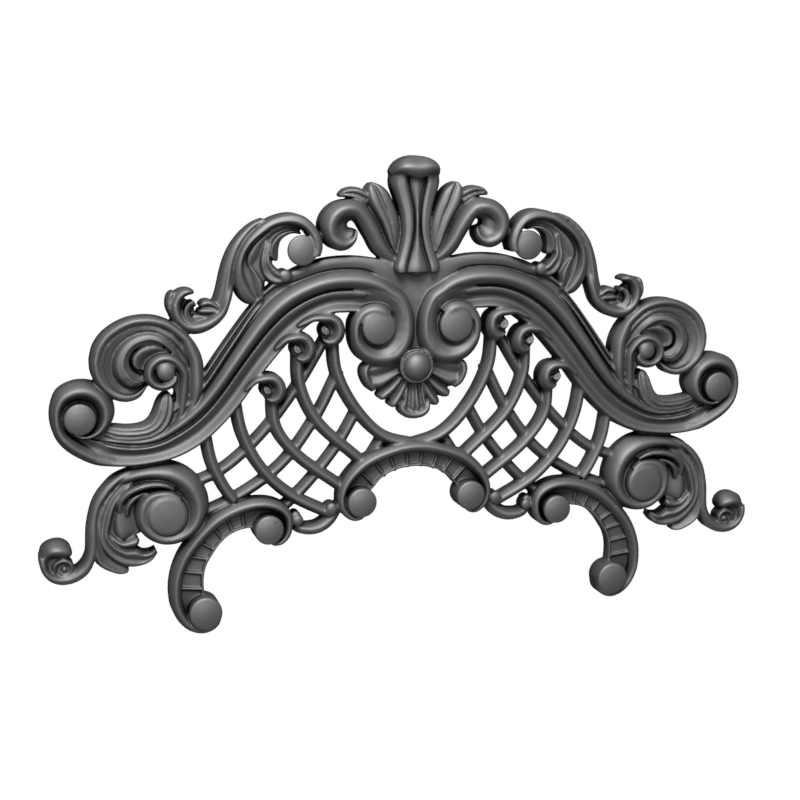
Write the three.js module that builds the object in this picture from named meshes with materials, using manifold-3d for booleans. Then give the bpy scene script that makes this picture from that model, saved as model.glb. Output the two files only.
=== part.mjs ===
// An openwork scroll ornament, carved in relief on a flat back, to be fixed to a panel or a frame's head.
// Millimetres. X runs along the ornament, Z up, the carved front faces -Y and the flat back is at Y = 0.
import * as THREE from 'three';
import { mergeVertices } from 'three/addons/utils/BufferGeometryUtils.js';
import Module from 'manifold-3d';

const wasm = await Module();
wasm.setup();

// Driving dimensions. Every plan coordinate below is a place on the carver's drawing, whose width is
// DRAWN_WIDTH, so the ornament's own width sets them all. Heights stand off the flat back.
const WIDTH = 602;
const DRAWN_WIDTH = 602;
const SCROLL_HEIGHT = 20.5; // crest of the main scroll's bead and of the volutes
const EYE_HEIGHT = 22.5; // flat tops of the volutes' round eyes
const CAP_HEIGHT = 25; // the bulb on top of the crest, the highest point
const MOULDING_HEIGHT = 13.5; // the plain strip along the outer edge of the main scroll
const RIM_HEIGHT = 18; // rims of the arch, the feet and the big side scrolls
const CHANNEL_HEIGHT = 9; // sunk floor of the ribbed channels
const RIB_HEIGHT = 11.5; // ribs across the channels
const RIB_WIDTH = 3;
const BAR_WIDTH = 9.6; // lattice
const FRONT_BAR_HEIGHT = 13.5;
const BACK_BAR_HEIGHT = 9.5;
const STEP = 30; // longest facet along a scroll
const STEEPNESS = 0.6; // how far a section may rise, as a share of its width
const BULGE = 0.7; // how far a curve may stand off its facet
const FLATNESS = 1.7; // root of the summed squares of a merged corner's distances from its old planes
const LEAST_TURN = 0.3; // cosine of the most that a facet may tilt when it is merged
const LEAST_AREA = 0.01; // twice the area under which no facet is made
const EYE_SIDES = 16;
const SAME_POINT = 1e-4; // two corners nearer than this are one
const LOOKS = 240; // places along a band where its bend is looked at

const UNIT = WIDTH / DRAWN_WIDTH;

// Sections, from edge a to edge b: share of the width and share of the height.
const BEAD = [[0, 0.5], [0.5, 1], [1, 0.5]];
const ROLL = [[0, 0.4], [0.45, 0.96], [1, 0.85]];
const BAR = [[0, 0.9], [1, 0.9]];
const STRIP = [[0, 0.7], [0.25, 1], [1, 0.92]];
const COVE = [[0, 0.7], [0.25, 0.62], [0.85, 1], [1, 0.6]];
const VOLUTE = [[0, 0.5], [0.36, 1], [1, 0.62]];
const TURN = [[0, 0.62], [0.4, 1], [1, 0.98]];
const FLAT = [[0, 1], [1, 1]];
const LEAF = [[0, 0.5], [0.25, 1], [1, 0.62]];
const HOLLOW = [[0, 0.55], [0.28, 1], [1, 0.7]];
const FLUTED = [[0, 0.5], [0.2, 0.97], [0.5, 0.78], [0.8, 0.97], [1, 0.5]];
const STEM = [[0, 0.42], [0.22, 0.98], [0.5, 0.74], [0.78, 0.98], [1, 0.42]];
const CAP = [[0, 0.4], [0.4, 1], [1, 0.85]];

// The stations along a pair of edges, close together where an edge bends.
function stations(edges) {
  const found = [0];
  const state = edges.map(() => ({ length: 0, turn: 0 }));
  for (let i = 1; i < LOOKS; i += 1) {
    let split = false;
    edges.forEach((edge, k) => {
      const before = edge.getTangent((i - 1) / LOOKS);
      const now = edge.getTangent(i / LOOKS);
      state[k].turn += Math.hypot(now.x - before.x, now.z - before.z);
      state[k].length += edge.getPoint((i - 1) / LOOKS).distanceTo(edge.getPoint(i / LOOKS));
      if ((state[k].length * state[k].turn) / 8 > BULGE || state[k].length > STEP) split = true;
    });
    if (split) {
      found.push(i / LOOKS);
      state.forEach((entry) => { entry.length = 0; entry.turn = 0; });
    }
  }
  return [...found, 1];
}

// A band is lofted between its two edges. A row is [ax, az, bx, bz, height]: a point on each edge, and
// the height of the section there, which holds until a later row gives another. Walls run back to Y = 0.
function withHeights(rows) {
  let height = rows[0][4];
  return rows.map((row) => {
    height = row[4] ?? height;
    return [...row.slice(0, 4), height];
  });
}

function band(given, section, end = section) {
  const rows = withHeights(given);
  const edge = (ix, iz) => new THREE.CatmullRomCurve3(
    rows.map((row) => new THREE.Vector3(row[ix] * UNIT, row[4], row[iz] * UNIT)),
  );
  const edgeA = edge(0, 1);
  const edgeB = edge(2, 3);
  const rings = stations([edgeA, edgeB]);
  const around = section.length + 2;
  const vertices = [];
  for (const u of rings) {
    const a = edgeA.getPoint(u);
    const b = edgeB.getPoint(u);
    const levels = section.map(([, level], j) => level + (end[j][1] - level) * u);
    const top = Math.max(...levels);
    const drop = a.y * (top - Math.min(...levels)) + SAME_POINT;
    const eased = Math.min(1, (STEEPNESS * Math.hypot(b.x - a.x, b.z - a.z)) / drop);
    section.forEach(([s], j) => {
      const share = s + (end[j][0] - s) * u;
      const height = a.y * (top - (top - levels[j]) * eased);
      vertices.push(a.x + (b.x - a.x) * share, -height, a.z + (b.z - a.z) * share);
    });
    vertices.push(b.x, 0, b.z, a.x, 0, a.z);
  }
  const faces = [];
  for (let i = 0; i < rings.length - 1; i += 1) {
    for (let j = 0; j < around; j += 1) {
      const p = i * around + j;
      const q = i * around + ((j + 1) % around);
      faces.push(p, q, q + around, p, q + around, p + around);
    }
  }
  const outline = section.map(([s, level]) => new THREE.Vector2(s, level));
  outline.push(new THREE.Vector2(1, 0), new THREE.Vector2(0, 0));
  const lid = THREE.ShapeUtils.triangulateShape(outline, []);
  const far = (rings.length - 1) * around;
  for (const [i, j, k] of lid) faces.push(i, j, k, far + i, far + k, far + j);
  return solid(vertices, faces);
}

// The signed volume says which way the faces point, so a band may be drawn in either direction.
function solid(vertices, faces) {
  let volume = 0;
  for (let i = 0; i < faces.length; i += 3) {
    const [p, q, r] = [0, 1, 2].map((k) => new THREE.Vector3().fromArray(vertices, 3 * faces[i + k]));
    volume += p.dot(q.cross(r));
  }
  const triVerts = new Uint32Array(faces);
  if (volume < 0) {
    for (let i = 0; i < triVerts.length; i += 3) triVerts.subarray(i, i + 2).reverse();
  }
  return new wasm.Manifold(new wasm.Mesh({
    numProp: 3,
    vertProperties: new Float32Array(vertices),
    triVerts,
  }));
}

// A strand follows a spine. A row is [x, z, toLeft, toRight, height], its edges square to the spine.
function strandRows(rows) {
  const spine = new THREE.CatmullRomCurve3(rows.map(([x, z]) => new THREE.Vector3(x, 0, z)));
  return rows.map(([x, z, toLeft, toRight, height], i) => {
    const along = spine.getTangent(i / (rows.length - 1));
    const a = [x - along.z * toLeft, z + along.x * toLeft];
    const b = [x + along.z * toRight, z - along.x * toRight];
    return [...a, ...b, height];
  });
}

function strand(rows, section, end) {
  return band(strandRows(rows), section, end);
}

// A ring turns about a centre. A row is [degrees, outer radius, inner radius, height].
function ring(cx, cz, rows, section, end) {
  return band(rows.map(([degrees, outer, inner, height]) => {
    const angle = THREE.MathUtils.degToRad(degrees);
    const c = Math.cos(angle);
    const s = Math.sin(angle);
    return [cx + outer * c, cz + outer * s, cx + inner * c, cz + inner * s, height];
  }), section, end);
}

// A round boss: radius and height pairs from the wall to the middle, turned about an axis along Y.
function turned(cx, cz, profile, sides = EYE_SIDES) {
  const points = [[0, 0], [profile[0][0], 0], ...profile];
  const lathe = new THREE.LatheGeometry(points.map(([r, y]) => new THREE.Vector2(r * UNIT, y)), sides);
  lathe.deleteAttribute('normal');
  lathe.deleteAttribute('uv');
  lathe.rotateX(Math.PI);
  lathe.translate(cx * UNIT, 0, cz * UNIT);
  const merged = mergeVertices(lathe, SAME_POINT);
  return solid(Array.from(merged.attributes.position.array), Array.from(merged.index.array));
}

// A round eye narrows towards the back, and a ball sits on whatever lies under it.
const eye = (cx, cz, r, height = EYE_HEIGHT, foot = r) => turned(cx, cz, [
  [foot, height * 0.3],
  [r, height * 0.8],
  [r * 0.86, height * 0.96],
  [0, height],
]);

const ball = (cx, cz, r, rise, base, sides = 12) => turned(cx, cz, [
  [r, base],
  [r * 0.78, base + rise * 0.65],
  [0, base + rise],
], sides);

const join = (solids) => solids.reduce((whole, part) => whole.add(part));

// Main scroll: the spine is the groove under the bead, from the lower volute up to the middle. A row is
// [x, z, bead width, distance to the outer edge of the strip, distance to the inner edge of the lip].
const MAIN = [
  [-243, -62.5, 2.2, 2.2, 19.5], [-229, -64.8, 3.6, 3.6, 18], [-217, -64.6, 4.2, 4.2, 17],
  [-205, -61.8, 5.5, 5.5, 18.2], [-194, -56.5, 7.5, 12, 19.6], [-182, -49, 9, 17, 19.8],
  [-170, -38.5, 9.6, 18.5, 19.6], [-158, -24.3, 9.8, 18.7, 20.2], [-146, -8, 10.2, 18.9, 20.5],
  [-134, 7.5, 11.2, 19.4, 20.9], [-121, 22.8, 12.5, 20.4, 21.5], [-106, 36.3, 13.6, 22.8, 21.8],
  [-89, 46, 13.3, 24, 20.6], [-72, 51.3, 13.2, 24.2, 20], [-56, 52.3, 13.6, 24.6, 20.2],
  [-42, 50.8, 13.4, 25, 19], [-30, 47.3, 11.8, 24.6, 16],
];
const LIP_START = [[-272, -53, -282, -62], [-263, -58, -270.5, -72.5], [-253, -60.5, -257, -79.5]];

function mainScroll() {
  const h = SCROLL_HEIGHT;
  const strip = MAIN.slice(4).map(([x, z, width, outer]) => [x, z, outer, 1 - width, MOULDING_HEIGHT]);
  const bead = MAIN.map(([x, z, width], i) => [x, z, width, 0, h * Math.min(1, 0.6 + i * 0.05)]);
  const lip = strandRows(MAIN.map(([x, z, , , width]) => [x, z, 0.5, width, h * 0.86]));
  return [
    strand(strip, STRIP),
    strand(bead, BEAD),
    band([...LIP_START.map((row) => [...row, h * 0.8]), ...lip], COVE),
    band([[-38, 75, -34, 57, MOULDING_HEIGHT], [-20, 71.5, -22, 50], [-6, 67, -8, 38],
      [3, 64, 3, 34]], FLAT),
  ];
}

// Inner volute: the bead turns about the eye and runs in under it.
function innerVolute() {
  const [cx, cz] = [-32.3, 20.5];
  const h = SCROLL_HEIGHT;
  const outer = [33.5, 34.3, 32.4, 31.2, 33, 33.6, 31, 28.6, 24.8, 22.4, 21.2, 20.2, 19.3, 17.8, 16];
  const rim = outer.map((r, i) => [78 - 29 * i, r, Math.max(12, Math.min(13.5, r - 4)), h]);
  const cove = [[140, 27, 12, h * 0.6], [112, 30, 12, h * 0.6], [80, 28, 12, h * 0.62]];
  return [
    ring(cx, cz, rim, VOLUTE, TURN),
    ring(cx, cz, cove, FLAT),
    eye(cx, cz, 14.2),
  ];
}

// Lower volute, at the outer end of the main scroll.
function lowerVolute() {
  return [
    band([[-243, -82, -243, -72, 15], [-257, -79.5, -254, -69, 17], [-270, -73, -264, -63.5, 18.5],
      [-280.6, -64.8, -273, -57, 20], [-287.5, -55, -279, -51], [-290.4, -42, -281, -43.5],
      [-289, -30, -281, -37], [-284.2, -20, -277.5, -31.5], [-275, -14.6, -272, -28.6],
      [-265.5, -13, -266, -28], [-255.5, -15, -260, -31], [-246.8, -21.5, -256.5, -35.5],
      [-242, -30, -255.5, -41], [-241, -39, -256.5, -46], [-244, -47, -259, -50.5],
      [-250, -53.5, -262.5, -53.3], [-258, -57, -266.5, -54.3], [-266, -57.3, -270, -54],
      [-273, -54.5, -272.5, -52.5]], VOLUTE),
    eye(-268.6, -41.5, 12.6),
    ring(-268.6, -41.5, [[-120, 18, 9, 12], [-90, 14, 9, 12], [-40, 15, 9, 12], [20, 18, 9, 12],
      [90, 18.5, 9, 12],
      [160, 18.5, 9, 12], [230, 18, 9, 12]], FLAT),
  ];
}

// Big side scroll: a hooked stem, three nested members, a tongue, and a small volute about a knob.
function sideScroll() {
  const h = RIM_HEIGHT;
  return [
    band([[-188, -52, -198, -56, 12], [-180, -41.5, -190, -46, 14], [-174.3, -31, -184, -34, 16],
      [-171.7, -20, -182, -22, h - 1], [-171.4, -10, -182.5, -10], [-172.7, -1, -184.5, -2],
      [-175.5, 8, -188, 4], [-181, 17, -193, 10, 15], [-190, 25, -200, 14]], ROLL),
    band([[-174.5, 5, -179, 3, 16.5], [-179.5, 16.5, -184, 9.5, 17.5], [-187, 24.5, -191, 17.5, h],
      [-198, 31.5, -200, 24], [-208, 34.8, -208, 26.8], [-218, 35.4, -217.5, 27.8],
      [-229, 33.9, -226.5, 26.6],
      [-239.5, 29.6, -235, 23.2], [-249.5, 22.3, -243, 17.6], [-256, 13, -248.3, 10],
      [-259, 2, -250.4, 1.5],
      [-258.2, -8, -249.6, -8], [-253.5, -18, -247, -15.5], [-246, -25.8, -241.5, -20],
      [-237.5, -30, -235.5, -23, 16],
      [-229, -30.4, -229, -23.5, 15], [-221.5, -27.6, -223, -22, 14],
      [-215, -18.8, -216.2, -17.7, 12]], BEAD),
    band([[-181, 4, -185, 2, 15], [-186, 11.5, -189, 9, 16], [-200, 24, -201.5, 18.5, 17],
      [-209, 26.8, -209, 21], [-218, 27.8, -217, 21.6], [-228, 26, -226, 20], [-236, 22.6, -233.5, 15.5],
      [-243.5, 17, -239, 9], [-248.6, 9.5, -241.8, 2.5], [-250.4, 0, -242.5, -4.5],
      [-249.2, -9.5, -240.5, -11.5, 16],
      [-245, -18, -236, -17.5], [-237.5, -24, -230.5, -20.5, 15], [-229, -26.2, -225.5, -21, 14],
      [-222, -23.8, -220.5, -18.8, 12.5], [-217.3, -19.5, -217, -16.5, 11]], HOLLOW),
    band([[-184, 1.5, -188, -1, 15], [-189.5, 8.5, -193, 5, 16], [-196, 14.3, -199, 10, 17],
      [-203, 19.2, -204.5, 13, 17.5], [-211, 21.4, -211, 15], [-219, 21.6, -218.5, 14.5],
      [-227, 19.6, -225, 11.5],
      [-234.5, 14.6, -229, 7.5], [-240, 7, -231, 2.5], [-242.3, -1.5, -231, -3.5],
      [-240.5, -11.5, -229, -8.5, 17],
      [-235.5, -17.5, -226, -11], [-229, -20.6, -223, -9.5, 16], [-222.5, -19.7, -219.5, -10.5, 15],
      [-217.5, -15.5, -217, -11.5, 14]], ROLL),
    band([[-189, 3, -191, 1, 13], [-198, 10.3, -199, 5.6, 14], [-207, 14, -206, 6.6, 14.5],
      [-215, 15.2, -211, 4.6, 15], [-222.5, 13, -215, 2.6], [-228, 8, -217, 0.6],
      [-229.3, 2, -218, -1.9, 14.5],
      [-227.5, -3.2, -218, -4.2], [-222.5, -5.6, -218.5, -5.4, 13.5]], LEAF),
    band([[-190, -50, -199, -54, 12], [-184, -40, -196, -44, 14], [-182, -29, -195, -32, 15.5],
      [-181.5, -19, -193.5, -20.5, 17], [-183, -10, -192.5, -13, 18], [-188, -2, -194, -6.5, 19],
      [-194.5, 3.5, -197.5, -3.5, 19.5], [-202, 6.2, -202, -2.4, 20], [-209.8, 4.3, -206.5, -4.2],
      [-216, -1, -209.3, -7.5], [-218, -8.5, -210, -11.8], [-216.4, -16, -208.5, -16],
      [-210.5, -21.5, -204.5, -18.4], [-203, -23.2, -201, -18.6], [-196.5, -21.5, -197.5, -17.9, 19.5],
      [-192.5, -16.5, -195, -15.4]], HOLLOW),
    band([[-194, 4, -184, 10, 10], [-207, 5, -206, 28], [-216, 4, -218, 30], [-222, 0, -236, 26],
      [-221, -3, -251, 10], [-219, -7, -253, -4], [-218, -10, -247, -18], [-218, -13, -234, -25]], FLAT),
    ball(-202.2, -9.2, 7.8, 3, 17, 10),
    ring(-202.2, -9, [[200, 12, 5, 13], [270, 11, 5, 13], [340, 10, 5, 13], [410, 10, 5, 13],
      [480, 11, 5, 13]], FLAT),
  ];
}

// The small fluted leaf inside the side scroll.
function sideLeaf() {
  return [band([
    [-246, -48.5, -250, -57, 12], [-240, -49, -242, -61.3, 13], [-233, -50, -233, -62.3, 14],
    [-226, -50, -222, -62.3, 15], [-219.5, -48.8, -212, -60.6, 15.5], [-215, -45.8, -204, -56.2, 16],
    [-212.3, -41.5, -198, -48.7], [-210.3, -36.5, -195.7, -41], [-208.5, -32, -195.2, -34, 15.5],
    [-206.3, -28.5, -196.2, -28.5, 14.5], [-203, -25.6, -199.5, -24.8, 13],
  ], FLUTED)];
}

// Upper acanthus: a stem that climbs from a small curl, a rib that ends in a ball, and torn leaves.
function upperAcanthus() {
  return [
    band([[-123, 107.5, -121, 105.5, 12], [-132, 104, -128, 101.5, 14], [-141, 97, -136, 94.5, 15],
      [-148.6, 87.5, -142, 85.5, 16], [-153, 78, -145.4, 77], [-156, 68.5, -147, 67.5],
      [-158.3, 58.5, -147.4, 57],
      [-160, 52, -148.5, 48], [-161.8, 45.5, -151.3, 40.5], [-161, 38.5, -154.8, 32.2],
      [-166, 34, -161.6, 25.4], [-172, 32, -170, 21], [-178.5, 31.5, -178.5, 19.6, 17],
      [-184, 33, -186, 21.5], [-188, 36.5, -192.7, 27], [-190, 41, -197, 34],
      [-190.5, 46, -198.8, 42, 16.5], [-189.5, 50, -197.6, 50.5, 15.5],
      [-187, 52, -192, 54.3, 14]], LEAF),
    band([[-197, 49, -190, 47, 14], [-191, 55.6, -187, 50, 15], [-184, 56, -183, 50, 15],
      [-178, 54.5, -178, 51, 13]], BEAD),
    band([[-160, 44, -161, 38, 14], [-167, 46.5, -166, 36], [-172, 45.5, -171, 33.5],
      [-175, 41.5, -174.5, 34, 13]], HOLLOW),
    band([[-186, 30, -172, 28, 14], [-187, 36, -176, 33.5], [-187.5, 41, -178, 38.5],
      [-182, 45.5, -178, 42, 12]], LEAF),
    band([[-127, 41, -124, 42.5, 10], [-137, 41.5, -127, 48, 14], [-143, 46.5, -130, 55, 16],
      [-146.6, 54, -134, 62, 17], [-147.6, 63, -137.5, 68, 18], [-146.6, 73, -138.5, 76, 18.5],
      [-143.3, 83, -134.5, 85, 19], [-138, 92, -129, 91], [-130, 100, -122, 96.5],
      [-121, 106.5, -114.5, 100.8],
      [-110, 110.7, -106, 102], [-100, 111.7, -99, 101.6, 19.5], [-91, 109, -93, 99, 20],
      [-83.5, 102.5, -88, 95], [-78.6, 94.5, -84.5, 89], [-76.6, 85.5, -84, 83],
      [-78.5, 78, -86, 78]], LEAF),
    band([[-96, 101, -97, 99, 12], [-104, 102.5, -105, 98, 14], [-112, 102, -112, 96, 15],
      [-120, 98.5, -118, 91, 15.5], [-127, 93, -120.5, 85.5], [-132.5, 87, -122.5, 80.5],
      [-136.5, 80, -125, 76.5, 15], [-138.3, 73, -129, 71.5, 13.5],
      [-136, 68.5, -131, 67.6, 11]], HOLLOW),
    band([[-96, 99, -97, 97, 12], [-104, 98.5, -103.5, 94.5, 13], [-110.5, 97, -107.5, 91, 14],
      [-116, 93, -109.3, 86.5, 14.5], [-119, 88, -110, 82], [-119.5, 82.5, -109.2, 77.3, 14],
      [-117.5, 77, -109.5, 73.6, 12]], HOLLOW),
    band([[-123, 88, -118.6, 86, 13], [-124.7, 78, -117, 79, 14], [-125.4, 70.5, -115, 74.5, 15],
      [-123.6, 62.3, -112, 70.5, 16], [-118, 56.6, -107.5, 70], [-110.5, 56.6, -105.3, 67, 15],
      [-105, 59, -104, 64, 13]], LEAF),
    band([[-137, 72, -130, 72, 12], [-136, 62, -123.8, 62, 14], [-134, 54, -121.8, 55.5, 15],
      [-131, 46, -122.6, 48, 14], [-128.5, 41, -124.5, 42.3, 11]], LEAF),
    ball(-107.3, 62.8, 5.2, 2.5, 13.5, 8),
    eye(-93.8, 83, 12.2, 21, 7.5),
  ];
}

// Lower acanthus: a volute, a long rib that runs out to a curled end, and torn leaves between them.
function lowerAcanthus() {
  return [
    band([[-244, -89, -235, -99, 13], [-232, -85, -228, -96.5, 15], [-220, -81.5, -219, -95.5, 16],
      [-208, -79.8, -210, -97.5, 17], [-197, -81, -201.5, -100, 18],
      [-186.3, -85.8, -194.5, -104.5, 18.5],
      [-177, -94, -189.5, -110.5, 19], [-171, -105, -187.3, -117], [-169, -116, -187, -123],
      [-171.2, -127, -189, -129], [-177.6, -137, -193, -134], [-187, -143.6, -198, -136.5],
      [-197.5, -146.6, -203.5, -137.3], [-207.5, -146, -209, -136], [-216, -142.3, -214, -132.5],
      [-222.3, -136, -217.5, -127.5], [-226, -128, -218.5, -122], [-227.3, -119, -216.5, -117.5, 19.5],
      [-225.5, -110, -213, -114.5, 20], [-219.5, -103.5, -209, -113.5, 20.5],
      [-209.5, -100.7, -205, -114, 21], [-199, -102, -200, -115],
      [-191.5, -107.5, -196, -118]], VOLUTE, TURN),
    eye(-203, -121.5, 16.5, 21),
    band([[-196, -94, -192, -112, 10], [-216, -88, -206, -108], [-232, -92, -216, -112],
      [-246, -106, -218, -120], [-251, -126, -218, -128], [-246, -144, -224, -138]], FLAT),
    band([[-235.5, -86.5, -230, -90, 14], [-243, -90, -238, -94, 14.5], [-250, -95, -245.3, -99, 15],
      [-256, -101.6, -251.3, -106, 15.5], [-260.8, -110, -255.3, -113], [-263.6, -120, -258, -121],
      [-265.6, -131, -259, -131, 16], [-266.6, -143, -258.5, -143], [-267, -150, -258.6, -150],
      [-268.5, -154, -260, -158.5], [-272, -158.5, -264, -165.5], [-276, -162, -269.5, -170.6, 15],
      [-281, -165, -276.5, -174], [-286, -165.5, -284, -175], [-291, -163, -291.5, -173.5],
      [-295, -158, -298, -168.5],
      [-295, -152, -301.6, -160, 15.5], [-291, -148, -302, -151, 16]], ROLL),
    ball(-289.5, -151, 13.9, 7, 12, 14),
    ball(-281.5, -160.5, 6, 4, 11, 8),
    band([[-262, -168, -262, -140, 10], [-276, -170, -276, -150], [-290, -165, -290, -148]], FLAT),
    band([[-260, -146, -254.5, -144, 14], [-259.6, -158, -250, -154, 14.5], [-254, -165.8, -244, -160],
      [-246, -170.6, -238, -163.8, 14], [-239, -172, -234.5, -165.8, 13],
      [-233.5, -170, -233.5, -166.8, 11]], LEAF),
    band([[-240, -93.5, -232, -98, 14], [-249, -102.5, -240, -103, 15], [-254.5, -112, -245, -110, 15.5],
      [-257.8, -121, -247, -118, 16], [-258.8, -131, -249, -128], [-257.5, -140, -249, -136],
      [-254, -148, -244.5, -142.5], [-248, -156, -239, -146.3], [-239.5, -163, -233, -147.5],
      [-230, -166.5, -227.5, -147.5, 15], [-221.5, -166.5, -222.5, -150.5, 14],
      [-213.8, -162.5, -216.5, -151.6],
      [-209.6, -156, -211.8, -150.6, 12]], HOLLOW),
    band([[-236, -100, -226, -100, 13], [-243, -110, -225, -108, 13.5], [-246, -120, -223, -118, 14],
      [-246.5, -130, -222.5, -128, 14.5], [-243, -138, -222, -136, 15],
      [-238.5, -144, -227.5, -140, 14.5]], HOLLOW),
    band([[-248, -137, -244, -134, 14], [-243.5, -144, -239, -141, 15], [-237, -147.6, -235, -140, 15.5],
      [-230.5, -148.5, -230, -137.3], [-225, -146, -226, -138.3, 14.5]], BEAD),
    band([[-228, -101, -225, -102, 14], [-235, -105, -228.5, -105, 16],
      [-240.5, -112, -229.5, -111.5, 16.5],
      [-241, -118.5, -230.3, -118], [-238, -123.5, -233, -123, 15]], FLUTED),
  ];
}

// A rimmed channel with ribs across it and a round eye at each end: the feet and the middle arch.
function channel(rim, ribs) {
  const half = RIB_WIDTH / 2;
  const rimRows = rim.map(([x, z, left, right]) => [x, z, left, right, RIM_HEIGHT]);
  const inside = rim.filter((row) => row.length > 4).map(([x, z, , right, reach]) =>
    [x, z, -right + 1, reach, CHANNEL_HEIGHT]);
  const rungs = ribs.map(([ax, az, bx, bz]) => strand(
    [[ax, az, half, half, RIB_HEIGHT], [bx, bz, half, half, RIB_HEIGHT]],
    BAR,
  ));
  return [strand(rimRows, BEAD), strand(inside, STRIP), ...rungs];
}

// Rim rows are [x, z, to the outer edge, to the channel, reach of the channel's inner edge].
const FOOT_RIM = [
  [-168.5, -216.5, 2.6, 1.6], [-177, -218, 4, 3], [-185.5, -215, 4.4, 3.6], [-192, -208.5, 4.6, 4.4],
  [-196.4, -199.5, 4.6, 4.4, 22], [-198, -189, 4.5, 4.6, 23.5], [-197.4, -178, 4.5, 4.6, 22.8],
  [-194.4, -167, 4.7, 4.8, 21.4], [-189.2, -156.5, 5, 5, 19.8], [-182, -147, 5.2, 5, 18.6],
  [-173.5, -138, 5.4, 5, 17.2], [-163.5, -130, 5.6, 5, 16.6], [-152.5, -124.3, 5.4, 4.6, 17],
  [-140.5, -120.4, 5.2, 4.4, 18.6], [-130, -118.8, 4.8, 4.6, 20], [-120.5, -120, 4.8, 4.6, 20],
  [-112, -124, 4.8, 4.4], [-107, -130.5, 4.2, 3.2], [-105.8, -138.5, 3.2, 3.2], [-107.8, -145.8, 3, 3],
  [-113, -150, 2, 2],
];
const FOOT_RIBS = [[-194, -184, -177, -186], [-190.5, -170.5, -176, -173],
  [-185.5, -158.5, -172.5, -161.5],
  [-177, -147.5, -167, -153.5], [-165.5, -137, -160, -145], [-154.5, -131, -151, -140],
  [-143, -127, -141.5, -138.5]];
const ARCH_RIM = [
  [-45, -136, 1.4, 1.4], [-52, -135.8, 2, 2], [-57.5, -132, 2.8, 2.6], [-61, -127, 3, 3],
  [-62.2, -120, 3.2, 3], [-60.5, -112, 3.8, 3.4, 16], [-56.2, -104.5, 4.6, 4, 20],
  [-50, -97.5, 5, 4.6, 21.5],
  [-42.5, -91.3, 5, 4.8, 20.5], [-33, -86.3, 4.6, 4.8, 18.5], [-22.5, -82.6, 4.3, 4.6, 17.5],
  [-11.5, -80, 4.2, 4.4, 17.5], [0, -79.2, 4.2, 4, 17.3],
];
const ARCH_RIBS = [[-6.5, -82, -5.5, -97], [-20.5, -86, -16, -99.5], [-33, -91.5, -24.5, -103.5],
  [-44.5, -98.5, -33.5, -110.5]];

const mirrorRow = ([x, z, ...rest]) => [-x, z, ...rest];
const bothSides = (rows) => [...rows, ...rows.slice(0, -1).reverse().map(mirrorRow)];

function foot() {
  return [
    ...channel(FOOT_RIM, FOOT_RIBS),
    eye(-175.2, -203.8, 13.4),
    eye(-123, -139.2, 11.9),
  ];
}

function arch() {
  const ribs = ARCH_RIBS.flatMap((row) => [row, [-row[0], row[1], -row[2], row[3]]]);
  return [
    ...channel(bothSides(ARCH_RIM), ribs),
    eye(-46.3, -122, 12.2),
    eye(46.3, -122, 12.2),
  ];
}

// Lattice bars, each through a few points of its middle line.
const FRONT_BARS = [
  [[-171.3, -58], [-166.5, -83], [-157, -104], [-149, -116]],
  [[-147, -34], [-142, -60], [-128.5, -88], [-105.6, -112.3], [-70, -132.3]],
  [[-117, -26], [-114.5, -57.5], [-97.5, -81.5], [-63, -108.5]],
  [[-96, 2], [-94.8, -24], [-81, -54.5], [-45, -89]],
  [[-67.5, 12], [-64.5, -15], [-49, -46], [-25, -70.5], [3, -79.5]],
];
const BACK_BARS = [
  [[-72.4, 12], [-94.9, -24.4], [-125.9, -63.6], [-157, -90], [-183, -101]],
  [[-61.4, -14.4], [-80.9, -51.8], [-110, -89.3], [-146, -113.5], [-176, -126]],
  [[-45.4, -45.5], [-63.9, -76.6], [-90, -107.8], [-113, -128.5]],
  [[-23, -68], [-34.5, -86]],
];

function lattice() {
  const half = BAR_WIDTH / 2;
  const bar = (points, height) => strand(points.map(([x, z]) => [x, z, half, half, height]), BAR);
  return [
    ...FRONT_BARS.map((points) => bar(points, FRONT_BAR_HEIGHT)),
    ...BACK_BARS.map((points) => bar(points, BACK_BAR_HEIGHT)),
  ];
}

// Three buds hang from the main scroll's lip: one drawing, moved, turned and drawn out to a longer tail.
const BUD = [[-24, 4, -23, 2.8, 17], [-18, 8.5, -16, 4, 18], [-11, 11.5, -9.5, 6.5, 19],
  [-3, 12.5, -3.5, 6.8, 20],
  [5, 11.9, 2.5, 6.5], [11.7, 8.2, 6.5, 3.5], [14.8, 2, 7.5, -0.5], [15.2, -4.5, 7, -4.5],
  [12.7, -10.7, 5, -7.7, 19], [7.2, -14.4, 2.5, -8.5, 18], [1.2, -13.7, 0, -7.8, 16.5],
  [-3.3, -9, -2.5, -6, 15]];

function bud(x, z, degrees, size, reach) {
  const angle = THREE.MathUtils.degToRad(degrees);
  const place = (px, pz) => {
    const along = size * (px < 0 ? px * reach : px);
    return [
      x + along * Math.cos(angle) - size * pz * Math.sin(angle),
      z + along * Math.sin(angle) + size * pz * Math.cos(angle),
    ];
  };
  const curl = BUD.map(([ax, az, bx, bz, height]) => [...place(ax, az), ...place(bx, bz), height]);
  return [
    band(curl, BEAD),
    ball(...place(0.8, -0.6), 3.8, 3, 14.5, 8),
    ball(...place(5, -2), 7, 2, 9, 8),
  ];
}

// The little link between the foot and the arch.
function link() {
  return [
    strand([[-99, -134, 4, 4, 11], [-97.5, -140.5, 5, 5, 12], [-90, -143.2, 5, 5, 13.5],
      [-81.5, -142.8, 5.4, 5.4, 14], [-73.5, -139, 5.8, 5.8, 13], [-67, -132.5, 5, 5, 12]], BEAD),
    ball(-98, -134.8, 4.6, 2.5, 12, 8),
    ball(-99.3, -131.5, 4.2, 2, 10, 8),
    ball(-70, -126.8, 5, 2.5, 13, 8),
  ];
}

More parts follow.
